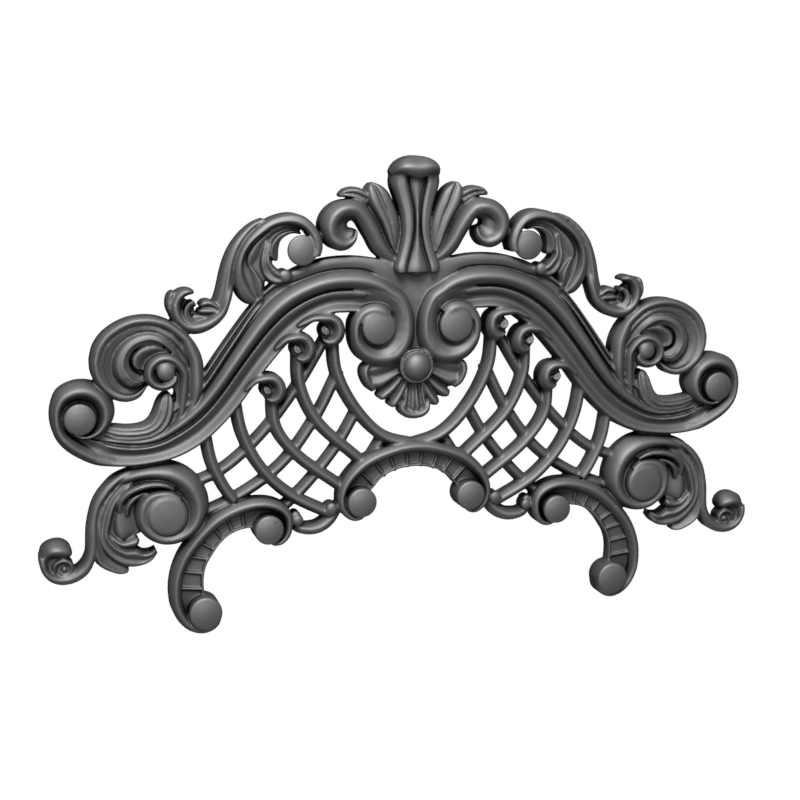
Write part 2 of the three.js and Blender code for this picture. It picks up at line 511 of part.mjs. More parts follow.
// Crest: a fluted stem with a bulb on top, two leaves and a fat scroll on each side.
function crestSide() {
  const scroll = [[-14, 76.5, -17, 67.5, 13], [-20.3, 83.5, -26.5, 73, 15], [-25.8, 94, -34.5, 79.5, 17],
    [-31, 104, -40.5, 90, 18.5], [-38, 114.5, -46, 99, 19.5], [-47, 120.5, -51, 105.5, 20.5],
    [-57, 121.5, -55.5, 106, 21.5], [-66.6, 119, -60, 106, 22], [-74.6, 112.5, -63.5, 103.5, 22.5],
    [-78.8, 103, -65, 99.5, 22.5], [-77.5, 93, -64, 95, 22], [-71.3, 85, -61, 92],
    [-62.5, 81.5, -57.5, 91, 21],
    [-54.5, 83.6, -53.5, 93.5, 20], [-49.3, 90.5, -51.5, 96.5, 19], [-48.6, 97, -50.8, 99.5, 17]];
  const bowl = [[-40, 101], [-46, 108.5], [-53, 110.2], [-60, 107.5], [-64.5, 101.5], [-64, 95.5],
    [-59, 91.5], [-53.5, 93.5]];
  const tall = [[-35.2, 134, 2.4, 2.4, 11], [-33.5, 131, 7.2, 7, 13.5], [-31, 125.8, 10, 9.6, 15.5],
    [-28.3, 118.5, 11, 10, 16], [-25, 110.5, 10.6, 10, 16], [-21.8, 102.2, 9.4, 9, 16],
    [-19.3, 93.5, 7.8, 7.8, 15.5], [-17.6, 85.5, 5.8, 5.8, 15], [-16, 78, 3, 3, 14]];
  const short = [[-60.5, 124.5, 1.2, 1.6, 9], [-56.5, 126.6, 3.6, 3.4, 11], [-50.5, 127, 4.4, 5.4, 12],
    [-44.5, 124.8, 5.4, 6, 13], [-38, 121, 6, 6, 13]];
  return [
    band(scroll, ROLL),
    band(bowl.map(([x, z]) => [x, z, -53, 104, 12]).slice(0, 7), [[0, 1, 0], [1, 0.7, 0]]),
    strand(tall, FLUTED),
    strand(short, FLUTED),
  ];
}

const mirrorRows = (rows) => rows.map(([ax, az, bx, bz, height]) => [-ax, az, -bx, bz, height]);

function crestStem() {
  const halves = [[141.5, 19.5, 17], [137, 20.6, 17.5], [130, 19.6, 17], [121, 16.3, 17],
    [111, 13.2, 17.5], [101, 11.9, 18],
    [92, 12, 18], [83, 14, 18.5], [75, 17, 19.5], [68, 19.2, 20.5], [63.5, 17.5, 20.5]];
  const cap = [[20.6, 142.5, 139, 12], [18.4, 147, 142, 19], [15, 150.6, 142.2, 22.5],
    [10.5, 153.2, 141, 24.2],
    [5.5, 154.8, 138.8, CAP_HEIGHT], [0, 155.2, 137.6, CAP_HEIGHT]];
  const capRows = cap.map(([x, top, bottom, height]) => [-x, top, -x * 0.93, bottom, height]);
  const other = mirrorRows(capRows.slice(0, -1).reverse());
  return [
    band(halves.map(([z, half, height]) => [-half, z, half, z, height]), STEM),
    band([...capRows, ...other], CAP),
    band([[-12, 70, 12, 70, 17], [-7, 64, 7, 64, 17], [-2, 60.8, 2, 60.8, 16]], BAR),
    band([[-21, 63, 21, 63, MOULDING_HEIGHT], [-13, 46, 13, 46, MOULDING_HEIGHT],
      [-8, 24, 8, 24, MOULDING_HEIGHT], [-9, 0, 9, 0, MOULDING_HEIGHT]], FLAT),
  ];
}

// Shell: seven lobes fan out from a ringed ball below the middle.
function shell() {
  const lobe = (rows, section) => [band(rows, section), band(mirrorRows(rows), section)];
  const middle = [[-20, 6.5, 11], [-31, 8.8, 12.5], [-41, 10.8, 14], [-47, 13.2, 14.5], [-51, 12.6, 14],
    [-54.5, 9, 12], [-56.5, 4, 9]];
  return [
    band(middle.map(([z, half, height]) => [-half, z, half, z, height]), FLUTED),
    ...lobe([[-8, -23, -3, -25, 11], [-14, -34.5, -8, -38, 12.5], [-19.8, -43, -12, -45, 13.5],
      [-18.5, -46.4, -14.5, -47, 11]], BEAD),
    ...lobe([[-11, -19, -7, -23, 11], [-21, -29.5, -15.5, -35, 12.5], [-28, -35, -22, -39.5, 13.5],
      [-27.5, -39.5, -24.5, -40.9, 11]], BEAD),
    ...lobe([[-11, -5, -11, -20, 12], [-22, -6, -20, -26, 13], [-31, -6.5, -29, -31.5, 14],
      [-37.6, -7, -35.5, -32.6, 14.5], [-41.6, -9.5, -39.5, -29, 13],
      [-43, -14, -42, -23.5, 11]], FLUTED),
    turned(0, -12.3, [[14.2, 16], [12.6, 18], [0, 18]], 24),
    ball(0, -12.3, 11.6, 8, 16, 20),
  ];
}

// A hollow sealed inside the carving is filled: its own shell, whose volume is negative, is left out.
function outerShells(points, faces) {
  const shell = points.map((_, v) => v);
  const root = (v) => {
    let at = v;
    while (shell[at] !== at) at = shell[at];
    return at;
  };
  for (const [a, b, c] of faces) {
    shell[root(a)] = root(b);
    shell[root(b)] = root(c);
  }
  const volumes = new Map();
  for (const face of faces) {
    const [p, q, r] = face.map((v) => points[v]);
    const key = root(face[0]);
    volumes.set(key, (volumes.get(key) ?? 0) + p.dot(q.clone().cross(r)));
  }
  return faces.filter((face) => volumes.get(root(face[0])) > 0);
}

// Facets that hardly bend are merged: an edge closes up where its new corner stays within FLATNESS of
// every plane that met there, and no facet turns over.
function merged(positions, triangles) {
  const points = [];
  for (let i = 0; i < positions.length; i += 3) points.push(new THREE.Vector3().fromArray(positions, i));
  const faces = [];
  for (let i = 0; i < triangles.length; i += 3) faces.push([...triangles.slice(i, i + 3)]);
  const around = points.map(() => new Set());
  faces.forEach((face, index) => face.forEach((v) => around[v].add(index)));
  const plane = (a, b, c) => new THREE.Plane().setFromCoplanarPoints(a, b, c);
  const quadrics = points.map(() => new Float64Array(10));
  faces.forEach((face) => {
    const { normal, constant } = plane(...face.map((v) => points[v]));
    if (!(normal.lengthSq() > 0.5)) return;
    const [a, b, c, d] = [normal.x, normal.y, normal.z, constant];
    const terms = [a * a, a * b, a * c, a * d, b * b, b * c, b * d, c * c, c * d, d * d];
    face.forEach((v) => terms.forEach((term, k) => { quadrics[v][k] += term; }));
  });
  const error = (q, { x, y, z }) => q[0] * x * x + 2 * q[1] * x * y + 2 * q[2] * x * z + 2 * q[3] * x
    + q[4] * y * y + 2 * q[5] * y * z + 2 * q[6] * y + q[7] * z * z + 2 * q[8] * z + q[9];
  const corners = (v) => [...around[v]].flatMap((index) => faces[index]);
  const neighbours = (v) => new Set(corners(v).filter((w) => w !== v));
  const turnsOver = (v, gone, target) => [...around[v]].some((index) => {
    const face = faces[index];
    if (face.includes(gone)) return false;
    const now = plane(...face.map((w) => points[w])).normal;
    const moved = face.map((w) => (w === v ? target : points[w]));
    const next = plane(...moved).normal;
    const area = moved[1].clone().sub(moved[0]).cross(moved[2].clone().sub(moved[0])).length();
    return now.dot(next) < LEAST_TURN || area < LEAST_AREA;
  });
  const close = (a, b, limit) => {
    const both = quadrics[a].map((term, k) => term + quadrics[b][k]);
    const targets = [points[a].clone(), points[b].clone(), points[a].clone().lerp(points[b], 0.5)];
    const best = targets.map((target) => [error(both, target), target]).sort((p, q) => p[0] - q[0])[0];
    if (best[0] > limit) return false;
    const near = neighbours(b);
    if ([...neighbours(a)].filter((v) => near.has(v)).length !== 2) return false;
    if (turnsOver(a, b, best[1]) || turnsOver(b, a, best[1])) return false;
    points[a].copy(best[1]);
    quadrics[a] = both;
    [...around[b]].forEach((index) => {
      const face = faces[index];
      if (face.includes(a)) {
        face.forEach((v) => around[v].delete(index));
        faces[index] = null;
      } else {
        face[face.indexOf(b)] = a;
        around[a].add(index);
      }
    });
    around[b].clear();
    return true;
  };
  for (const share of [0.01, 0.05, 0.2, 0.5, 1, 1]) {
    const limit = share * FLATNESS * FLATNESS;
    for (let index = 0; index < faces.length; index += 1) {
      for (let k = 0; k < 3 && faces[index]; k += 1) {
        close(faces[index][k], faces[index][(k + 1) % 3], limit);
      }
    }
  }
  const kept = outerShells(points, faces.filter(Boolean)).flat();
  return solid(points.flatMap((point) => point.toArray()), kept);
}

// The left side is carved once and mirrored, then the middle pieces join the two.
function mirrored(whole) {
  const { vertProperties, triVerts } = whole.getMesh();
  const vertices = Array.from(vertProperties, (value, i) => (i % 3 === 0 ? -value : value));
  return solid(vertices, Array.from(triVerts));
}

const side = join([
  ...mainScroll(),
  ...innerVolute(),
  ...lowerVolute(),
  ...sideScroll(),
  ...sideLeaf(),
  ...upperAcanthus(),
  ...lowerAcanthus(),
  ...foot(),
  ...lattice(),
  ...bud(-74, 20, 0, 1, 1),
  ...bud(-97.5, 6, 12, 0.97, 0.8),
  ...bud(-122, -25.5, 12, 0.97, 0.78),
  ...link(),
  ...crestSide(),
]);
const middle = join([...arch(), ...crestStem(), ...shell()]);
const rough = side.add(mirrored(side)).add(middle).getMesh();
const { vertProperties, triVerts } = merged(rough.vertProperties, rough.triVerts).getMesh();

const geometry = new THREE.BufferGeometry();
geometry.setAttribute('position', new THREE.BufferAttribute(vertProperties, 3));
geometry.setIndex(new THREE.BufferAttribute(triVerts, 1));
geometry.computeVertexNormals();

const finish = new THREE.MeshStandardMaterial({ color: 0x4a4a4a, roughness: 0.55, metalness: 0 });
const onlay = new THREE.Mesh(geometry, finish);
onlay.name = 'frame_onlay';

const group = new THREE.Group();
group.add(onlay);

export default group;
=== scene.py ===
"""An openwork scroll ornament in charcoal satin resin: carved relief on a flat back.

Plan sizes are millimetres on the carver's drawing: X along the ornament, Z up. Heights stand off the flat
back, towards -Y. Every member is a band lofted between two edges, or a turned boss. All of them are fused
into one skin, softened as a carver's file would leave it, and cut flat at the back.
"""
import math

import bmesh
import bpy
import numpy as np
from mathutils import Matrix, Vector

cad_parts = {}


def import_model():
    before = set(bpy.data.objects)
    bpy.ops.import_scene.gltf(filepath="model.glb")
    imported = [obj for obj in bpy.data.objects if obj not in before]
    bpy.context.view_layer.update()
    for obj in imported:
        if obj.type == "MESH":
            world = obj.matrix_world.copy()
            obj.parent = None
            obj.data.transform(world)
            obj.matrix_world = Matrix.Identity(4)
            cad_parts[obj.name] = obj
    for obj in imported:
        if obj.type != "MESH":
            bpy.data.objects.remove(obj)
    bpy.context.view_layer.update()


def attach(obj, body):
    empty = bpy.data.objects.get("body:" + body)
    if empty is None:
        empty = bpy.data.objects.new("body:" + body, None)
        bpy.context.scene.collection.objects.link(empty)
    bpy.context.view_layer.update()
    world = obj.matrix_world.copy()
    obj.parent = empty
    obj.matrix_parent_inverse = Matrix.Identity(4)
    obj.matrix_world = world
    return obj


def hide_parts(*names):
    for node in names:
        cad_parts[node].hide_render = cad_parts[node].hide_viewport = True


MM = 0.001

# Heights of the members, as in the solid.
SCROLL_HEIGHT = 20.5
EYE_HEIGHT = 22.5
CAP_HEIGHT = 25
MOULDING_HEIGHT = 13.5
RIM_HEIGHT = 18
CHANNEL_HEIGHT = 9
GROUND_HEIGHT = 10.6
RIB_HEIGHT = 11.5
FRONT_BAR_HEIGHT = 13.5
BACK_BAR_HEIGHT = 9.5

# Widths and depths of the finer carving.
RIB_WIDTH = 2.2
LIP_WIDTH = 2.4
BAR_WIDTH = 9.6
THIN_BEAD = 2.6
THIN_BEAD_HEIGHTS = (9, 13, 15, 15, 15, 15, 13, 9)
CREASE = 1.9  # the dark line left open between two members
STEM_CREASE = 4.4  # how deep the creases of the crest stem are
LIP_SHARE = 0.8  # the main scroll's lip against its bead
EYE_SHOULDER = 3.2
EYE_DOME = 1.4

# How finely the members are drawn and how far their edges are softened.
STEP = 1.6  # between the rings of a member
ACROSS = 14  # stretches in the whole width of a section
STEEPNESS = 0.6  # how far a section may rise, as a share of its width
BURIED = 2.0  # how far the members reach behind the back before it is cut flat
BACK_SLOPE = 0.98  # faces that look backward more than this lie in the flat back
NEAR = 1e-4
NOTHING = 1e-9
VOXEL = 0.65
SOFTEN_TIMES = 6
MOST_TRIANGLES = 188000

# Sections from edge a to edge b: share of the width, share of the height, and how the stretch that leads
# there bends: "rise" is steep first, "fall" steep last, "ease" steep in the middle, "line" straight.
BEAD = [(0, 0.38), (0.5, 1, "rise"), (1, 0.38, "fall")]
ROLL = [(0, 0.3), (0.5, 1, "rise"), (1, 0.6, "fall")]
BAR = [(0, 0.2), (0.5, 1, "rise"), (1, 0.2, "fall")]
STRIP = [(0, 0.55), (0.14, 0.88, "rise"), (0.48, 1, "ease"), (0.9, 0.82, "ease"), (1, 0.7, "line")]
FILLET = [(0, 0.6), (0.5, 1, "rise"), (1, 0.7, "fall")]
COVE = [(0, 0.78), (0.3, 0.7, "ease"), (0.8, 1, "ease"), (1, 0.45, "fall")]
DEEP_COVE = [(0, 0.92), (0.45, 0.6, "ease"), (0.9, 0.98, "ease"), (1, 0.6, "fall")]
RIM = [(0, 0.3), (0.7, 0.98, "rise"), (1, 0.94, "fall")]
SLOPE = [(0, 0.95), (1, 0.6, "line")]
VOLUTE = [(0, 0.35), (0.5, 1, "rise"), (0.62, 0.95, "line"), (1, 0.45, "line")]
TURN = [(0, 0.5), (0.45, 1, "rise"), (1, 0.98, "line")]
FLAT = [(0, 1), (1, 1, "line")]
LEAF = [(0, 0.4), (0.3, 1, "rise"), (0.75, 0.7, "ease"), (1, 0.6, "line")]
HOLLOW = [(0, 0.5), (0.3, 0.94, "rise"), (1, 0.68, "ease")]
FLUTED = [(0, 0.45), (0.24, 0.97, "rise"), (0.5, 0.78, "ease"), (0.76, 1, "ease"), (1, 0.45, "fall")]
GENTLE = [(0, 0.78), (0.55, 1, "rise"), (1, 0.9, "fall")]
VALLEY = [(0, 0.95), (0.45, 0.62, "ease"), (1, 0.45, "line")]
SWELL = [(0, 0.5), (0.5, 0.9, "rise"), (1, 1, "ease")]
SWELL_RIB = [(0, 0.4), (0.3, 0.85, "rise"), (0.62, 1, "ease"), (1, 0.6, "fall")]
HOLLOW_RIB = [(0, 0.5), (0.2, 0.88, "rise"), (0.45, 0.8, "ease"), (0.75, 1, "ease"), (1, 0.65, "fall")]
FOLD = [(0, 0.6), (0.35, 0.75, "ease"), (0.7, 1, "line"), (1, 0.5, "line")]
GROOVED = [(0, 0.5), (0.24, 0.93, "rise"), (0.42, 0.9, "line"), (0.54, 0.7, "ease"), (0.64, 0.95, "ease"),
           (0.84, 0.92, "ease"), (1, 0.55, "fall")]
LOOP_LEAF = [(0, 0.55), (0.24, 0.94, "rise"), (0.4, 0.9, "ease"), (0.52, 1, "ease"), (0.66, 0.88, "ease"),
             (0.84, 0.94, "ease"), (1, 0.55, "fall")]
FOLDED_STEM = [(0, 0.5), (0.3, 0.84, "rise"), (0.58, 1, "ease"), (0.8, 0.86, "ease"), (1, 0.72, "fall")]
DRAPE = [(0, 0.5), (0.4, 0.94, "rise"), (0.75, 1, "ease"), (1, 0.9, "fall")]
SOFT = [(0, 0.86), (0.5, 1, "rise"), (1, 0.86, "fall")]
BOWL = [(0, 0.95), (0.5, 0.72, "line"), (1, 0.45, "ease")]
MIDDLE_LOBE = [(0, 0.45), (0.14, 0.95, "rise"), (0.27, 0.72, "ease"), (0.42, 0.98, "ease"),
               (0.5, 0.8, "fall"), (0.58, 0.98, "rise"), (0.73, 0.72, "ease"), (0.86, 0.95, "ease"),
               (1, 0.45, "fall")]
CAP = [(0, 0.4), (0.55, 1, "rise"), (1, 0.7, "fall")]

BENDS = {
    "rise": lambda t: np.sin(t * math.pi / 2),
    "fall": lambda t: 1 - np.cos(t * math.pi / 2),
    "ease": lambda t: t * t * (3 - 2 * t),
    "line": lambda t: t,
}


def section_points(section):
    """The section's shares and levels, sampled along every stretch."""
    shares, levels = [section[0][0]], [section[0][1]]
    for (s0, l0, *_), (s1, l1, kind) in zip(section, section[1:]):
        count = max(2, round((s1 - s0) * ACROSS))
        t = np.arange(1, count + 1) / count
        shares.extend(s0 + (s1 - s0) * t)
        levels.extend(l0 + (l1 - l0) * BENDS[kind](t))
    return np.array(shares), np.array(levels)


def spline(points, places):
    """A smooth curve through points, read at places from 0 to 1."""
    points = np.asarray(points, float)
    ends = [2 * points[0] - points[1], 2 * points[-1] - points[-2]]
    line = np.vstack([ends[0], points, ends[1]])
    spans = len(points) - 1
    out = []
    for place in places:
        at = min(int(place * spans), spans - 1)
        w = place * spans - at
        p0, p1, p2, p3 = line[at:at + 4]
        pairs = ((p0, p1), (p1, p2), (p2, p3))
        d0, d1, d2 = (max(np.linalg.norm(b - a), NOTHING) ** 0.5 for a, b in pairs)
        t1 = ((p1 - p0) / d0 - (p2 - p0) / (d0 + d1) + (p2 - p1) / d1) * d1
        t2 = ((p2 - p1) / d1 - (p3 - p1) / (d1 + d2) + (p3 - p2) / d2) * d1
        square = 3 * (p2 - p1) - 2 * t1 - t2
        cube = 2 * (p1 - p2) + t1 + t2
        out.append(p1 + t1 * w + square * w ** 2 + cube * w ** 3)
    return np.array(out)


def with_heights(rows):
    """A row without a height keeps the height of the row before it."""
    height, full = rows[0][4], []
    for row in rows:
        height = row[4] if len(row) > 4 else height
        full.append([*row[:4], height])
    return full


def band(rows, section, end=None):
    """A member between two edges. A row is [ax, az, bx, bz, height].

    Its section may change towards the end, and drops no steeper than the width allows.
    """
    rows = np.array(with_heights(rows), float)
    middles = (rows[:, :2] + rows[:, 2:4]) / 2
    length = np.linalg.norm(np.diff(middles, axis=0), axis=1).sum()
    places = np.linspace(0, 1, max(3, round(length / STEP)))
    a = spline(rows[:, [0, 1, 4]], places)
    b = spline(rows[:, [2, 3, 4]], places)
    shares, levels = section_points(section)
    last_levels = levels
    if end:
        end_shares, end_levels = section_points(end)
        last_levels = np.interp(shares, end_shares, end_levels)
    vertices = []
    for u, pa, pb in zip(places, a, b):
        level = levels + (last_levels - levels) * u
        depth = pa[2] * (level.max() - level)
        depth *= min(1, STEEPNESS * math.dist(pa[:2], pb[:2]) / max(depth.max(), NOTHING))
        plan = pa[:2] + np.outer(shares, pb[:2] - pa[:2])
        front = np.column_stack([plan[:, 0], depth - pa[2] * level.max(), plan[:, 1]])
        back = [[pb[0], BURIED, pb[1]], [pa[0], BURIED, pa[1]]]
        vertices.extend([*front, *back])
    around = len(shares) + 2
    rings = len(places)
    faces = [tuple(range(around))[::-1], tuple(range((rings - 1) * around, rings * around))]
    for i in range(rings - 1):
        for j in range(around):
            p, q = i * around + j, i * around + (j + 1) % around
            faces.append((p, q, q + around, p + around))
    return outward(np.array(vertices), faces)


def outward(vertices, faces):
    """Turns every face outward, whichever way the member was drawn."""
    volume = 0
    for face in faces:
        p = vertices[list(face)]
        for k in range(1, len(face) - 1):
            volume += np.dot(p[0], np.cross(p[k], p[k + 1]))
    return vertices, faces if volume > 0 else [face[::-1] for face in faces]


def strand_rows(rows):
    """Rows of [x, z, to the left, to the right, height] about a spine, as rows between two edges."""
    spine = [[row[0], row[1], 0] for row in rows]
    count = len(rows) - 1
    out = []
    for i, (x, z, left, right, height) in enumerate(rows):
        near = np.clip([i / count - NEAR, i / count + NEAR], 0, 1)
        before, after = spline(spine, near)
        dx, dz = (after - before)[:2] / np.linalg.norm(after - before)
        out.append([x - dz * left, z + dx * left, x + dz * right, z - dx * right, height])
    return out


def strand(rows, section, end=None):
    return band(strand_rows(rows), section, end)


def ring(cx, cz, rows, section, end=None):
    """A member about a centre. A row is [degrees, outer radius, inner radius, height]."""
    turned_rows = []
    for degrees, outer, inner, height in rows:
        c, s = math.cos(math.radians(degrees)), math.sin(math.radians(degrees))
        turned_rows.append([cx + outer * c, cz + outer * s, cx + inner * c, cz + inner * s, height])
    return band(turned_rows, section, end)


def turned(cx, cz, profile, sides=64):
    """A round boss: radius and height pairs from its foot to its middle."""
    profile = [(profile[0][0], -BURIED), *profile]
    vertices, faces = [], []
    for radius, height in profile[:-1]:
        for k in range(sides):
            angle = 2 * math.pi * k / sides
            vertices.append([cx + radius * math.cos(angle), -height, cz + radius * math.sin(angle)])
    vertices.append([cx, -profile[-1][1], cz])
    top = len(vertices) - 1
    faces.append(tuple(range(sides)))
    for i in range(len(profile) - 2):
        for k in range(sides):
            p, q = i * sides + k, i * sides + (k + 1) % sides
            faces.append((p, p + sides, q + sides, q))
    rim = (len(profile) - 2) * sides
    for k in range(sides):
        faces.append((rim + k, top, rim + (k + 1) % sides))
    return outward(np.array(vertices), faces)


def eye(cx, cz, r, height=EYE_HEIGHT, foot=None):
    """A round eye with a rounded shoulder and a slightly domed top."""
    foot = r if foot is None else foot
    wall = height - EYE_SHOULDER
    profile = [(foot, height * 0.3), (r, wall)]
    for degrees in range(15, 91, 15):
        c, s = math.cos(math.radians(degrees)), math.sin(math.radians(degrees))
        profile.append((r - EYE_SHOULDER * (1 - c), wall + (EYE_SHOULDER - EYE_DOME) * s))
    for share, sunk in ((0.55, 0.45), (0.28, 0.12), (0, 0)):
        profile.append((r * share, height - EYE_DOME * sunk))
    return turned(cx, cz, profile)


def ball(cx, cz, r, rise, base):
    """A dome on a short wall."""
    profile = [(r, base)]
    for degrees in range(12, 90, 12):
        c, s = math.cos(math.radians(degrees)), math.sin(math.radians(degrees))
        profile.append((r * c, base + rise * s))
    profile.append((0, base + rise))
    return turned(cx, cz, profile, 48)


# Main scroll: the spine is the groove under the bead, from the lower volute up to the middle. A row is
# [x, z, bead width, distance to the outer edge of the strip, distance to the inner edge of the lip].
MAIN = [
    [-243, -62.5, 2.2, 2.2, 19.5], [-229, -64.8, 3.6, 3.6, 18], [-217, -64.6, 4.2, 4.2, 17],
    [-205, -61.8, 5.5, 5.5, 18.2], [-194, -56.5, 7.5, 12, 19.6], [-182, -49, 9, 17, 19.8],
    [-170, -38.5, 9.6, 18.5, 19.6], [-158, -24.3, 9.8, 18.7, 20.2], [-146, -8, 10.2, 18.9, 20.5],
    [-134, 7.5, 11.2, 19.4, 20.9], [-121, 22.8, 12.5, 20.4, 21.5], [-106, 36.3, 13.6, 22.8, 21.8],
    [-89, 46, 13.3, 24, 20.6], [-72, 51.3, 13.2, 24.2, 20], [-56, 52.3, 13.6, 24.6, 20.2],
    [-42, 50.8, 13.4, 25, 19], [-30, 47.3, 11.8, 24.6, 16],
]
# Where the hollow and the lip rise beside the lower volute: two edges and a share of the full height.
LIP_START = [
    [-272, -53, -282, -62, 0.6], [-263, -58, -270.5, -72.5, 0.76], [-253, -60.5, -257, -79.5, 0.84],
]


def main_scroll():
    h = SCROLL_HEIGHT
    long_part = MAIN[4:-1]
    beaded = len(THIN_BEAD_HEIGHTS)
    strip = [[x, z, outer, -bead - (THIN_BEAD + 2 * CREASE if i < beaded else CREASE), MOULDING_HEIGHT]
             for i, (x, z, bead, outer, _) in enumerate(long_part)]
    thin = [[x, z, bead + THIN_BEAD + CREASE, -bead - CREASE, height]
            for (x, z, bead, _, _), height in zip(long_part, THIN_BEAD_HEIGHTS)]
    bead = [[-262, -56.5, 0.8, 0, 9.5], [-253, -60, 1.5, 0, 11],
            *([x, z, width, 0, h * min(1, 0.6 + i * 0.05)] for i, (x, z, width, *_) in enumerate(MAIN))]
    fillet = [[-262, -56.5, -0.6, 1.2, 9], [-253, -60, -1.2, 2.4, 11],
              *([x, z, -CREASE, 4.6, 15] for x, z, *_ in MAIN)]
    cove = strand_rows([[x, z, -4, width, h * LIP_SHARE] for x, z, _, _, width in MAIN[:-1]])
    start = [[*row, h * share] for *row, share in LIP_START]
    ground = [[x, z, outer - 1, width - 1, GROUND_HEIGHT] for x, z, _, outer, width in MAIN]
    return [
        band([*strand_rows(strip), [-20, 71.5, -24, 57.5], [-8, 66, -13, 49, 12],
              [-1, 60, -8, 45, 11]], STRIP, FLAT),
        strand(thin, BEAD),
        band([*strand_rows(bead), *VOLUTE_BEAD], BEAD, RIM),
        strand(fillet, FILLET),
        band([*start, *cove], COVE, DEEP_COVE),
        strand(ground, FLAT),
        strand([[x, z, 1, 4, 11.5] for x, z, *_ in MAIN[1:]], FLAT),
        band([[-276, -57, -268, -50, 10], [-262, -66, -258, -50], [-245, -72, -243, -55],
              [-226, -70, -226, -58]], FLAT),
    ]


# Inner volute: the bead turns about the eye and runs in over it, with a slope down to the eye's foot.
VOLUTE_BEAD = [
    [-19, 53.4, -24, 43.5, 20.5], [-10, 46.5, -18, 39.5], [-5, 37.5, -14, 33], [-2, 28, -12, 25.5],
    [-1.2, 18, -12, 18.5], [-2, 8, -13.5, 11], [-6, -1.5, -17, 5], [-13, -7.8, -20, 1],
    [-21, -11, -25, -0.5], [-29, -11.7, -31, -0.8], [-37, -10.3, -37, 1], [-44, -7.3, -42, 4.5],
    [-49.5, -2.3, -45.5, 9], [-53, 4, -48, 13], [-54.8, 11, -48.5, 17.5], [-55.3, 18, -48, 22],
    [-54.5, 25, -46, 26], [-51.5, 31, -43, 29.5], [-46.5, 36, -39, 31.5, 21],
    [-40, 39, -35.5, 32, 21.5], [-33, 39.8, -32.5, 31.5, 22], [-26, 38, -29, 30, 22],
    [-20.5, 33, -26, 27, 21.5],
]
VOLUTE_SLOPE = [
    [-52, 53, -50, 36, 15], [-41, 51.5, -41, 37.5, 17], [-30, 48.5, -32, 37, 19],
    [-22.3, 44.5, -25, 33, 20], [-16, 39, -21, 28.5], [-12, 31, -20, 25], [-10.5, 21, -19.5, 20],
    [-11.5, 12, -20.5, 15], [-15, 4.5, -24, 11], [-20.5, -0.5, -28, 8.5], [-27.3, -3, -31.5, 8],
    [-34.2, -2.5, -35, 8.5], [-41, 1, -40, 11], [-46.5, 6.5, -43, 15], [-49.5, 13.5, -44.5, 20],
    [-50, 21, -44, 24], [-47, 28, -41, 28], [-41, 33, -37, 30.5],
]


def inner_volute():
    return [
        band(VOLUTE_SLOPE, SLOPE),
        ring(-32.3, 20.5, [[60, 27, 6, 10], [90, 28, 6, 10], [120, 27, 6, 10], [140, 22, 6, 10]], FLAT),
        eye(-32.3, 20.5, 14),
        band([[-13, 66, 13, 66, MOULDING_HEIGHT], [-22, 62, 22, 62, 11.5], [-12, 45, 12, 45],
              [-7, 30, 7, 30], [-6, 12, 6, 12], [-9, -4, 9, -4]], FLAT),
    ]


# Lower volute, at the outer end of the main scroll.
def lower_volute():
    return [
        band([[-243, -82, -243, -72, 15], [-257, -79.5, -254, -69, 17], [-270, -73, -264, -63.5, 18.5],
            [-280.6, -64.8, -273, -57, 20], [-287.5, -55, -279, -51], [-290.4, -42, -281, -43.5],
            [-289, -30, -281, -37], [-284.2, -20, -277.5, -31.5], [-275, -14.6, -272, -28.6],
            [-265.5, -13, -266, -28], [-255.5, -15, -260, -31], [-246.8, -21.5, -256.5, -35.5],
            [-242, -30, -255.5, -41], [-241, -39, -256.5, -46], [-244, -47, -259, -50.5],
            [-250, -53.5, -262.5, -53.3], [-258, -57, -266.5, -54.3], [-266, -57.3, -270, -54],
            [-273, -54.5, -272.5, -52.5]], VOLUTE),
        eye(-268.6, -41.5, 12.4),
        ring(-268.6, -41.5, [[-120, 18, 9, 12], [-90, 14, 9, 12], [-40, 15, 9, 12], [20, 18, 9, 12],
            [90, 18.5, 9, 12], [160, 18.5, 9, 12], [250, 16, 9, 12]], FLAT),
    ]


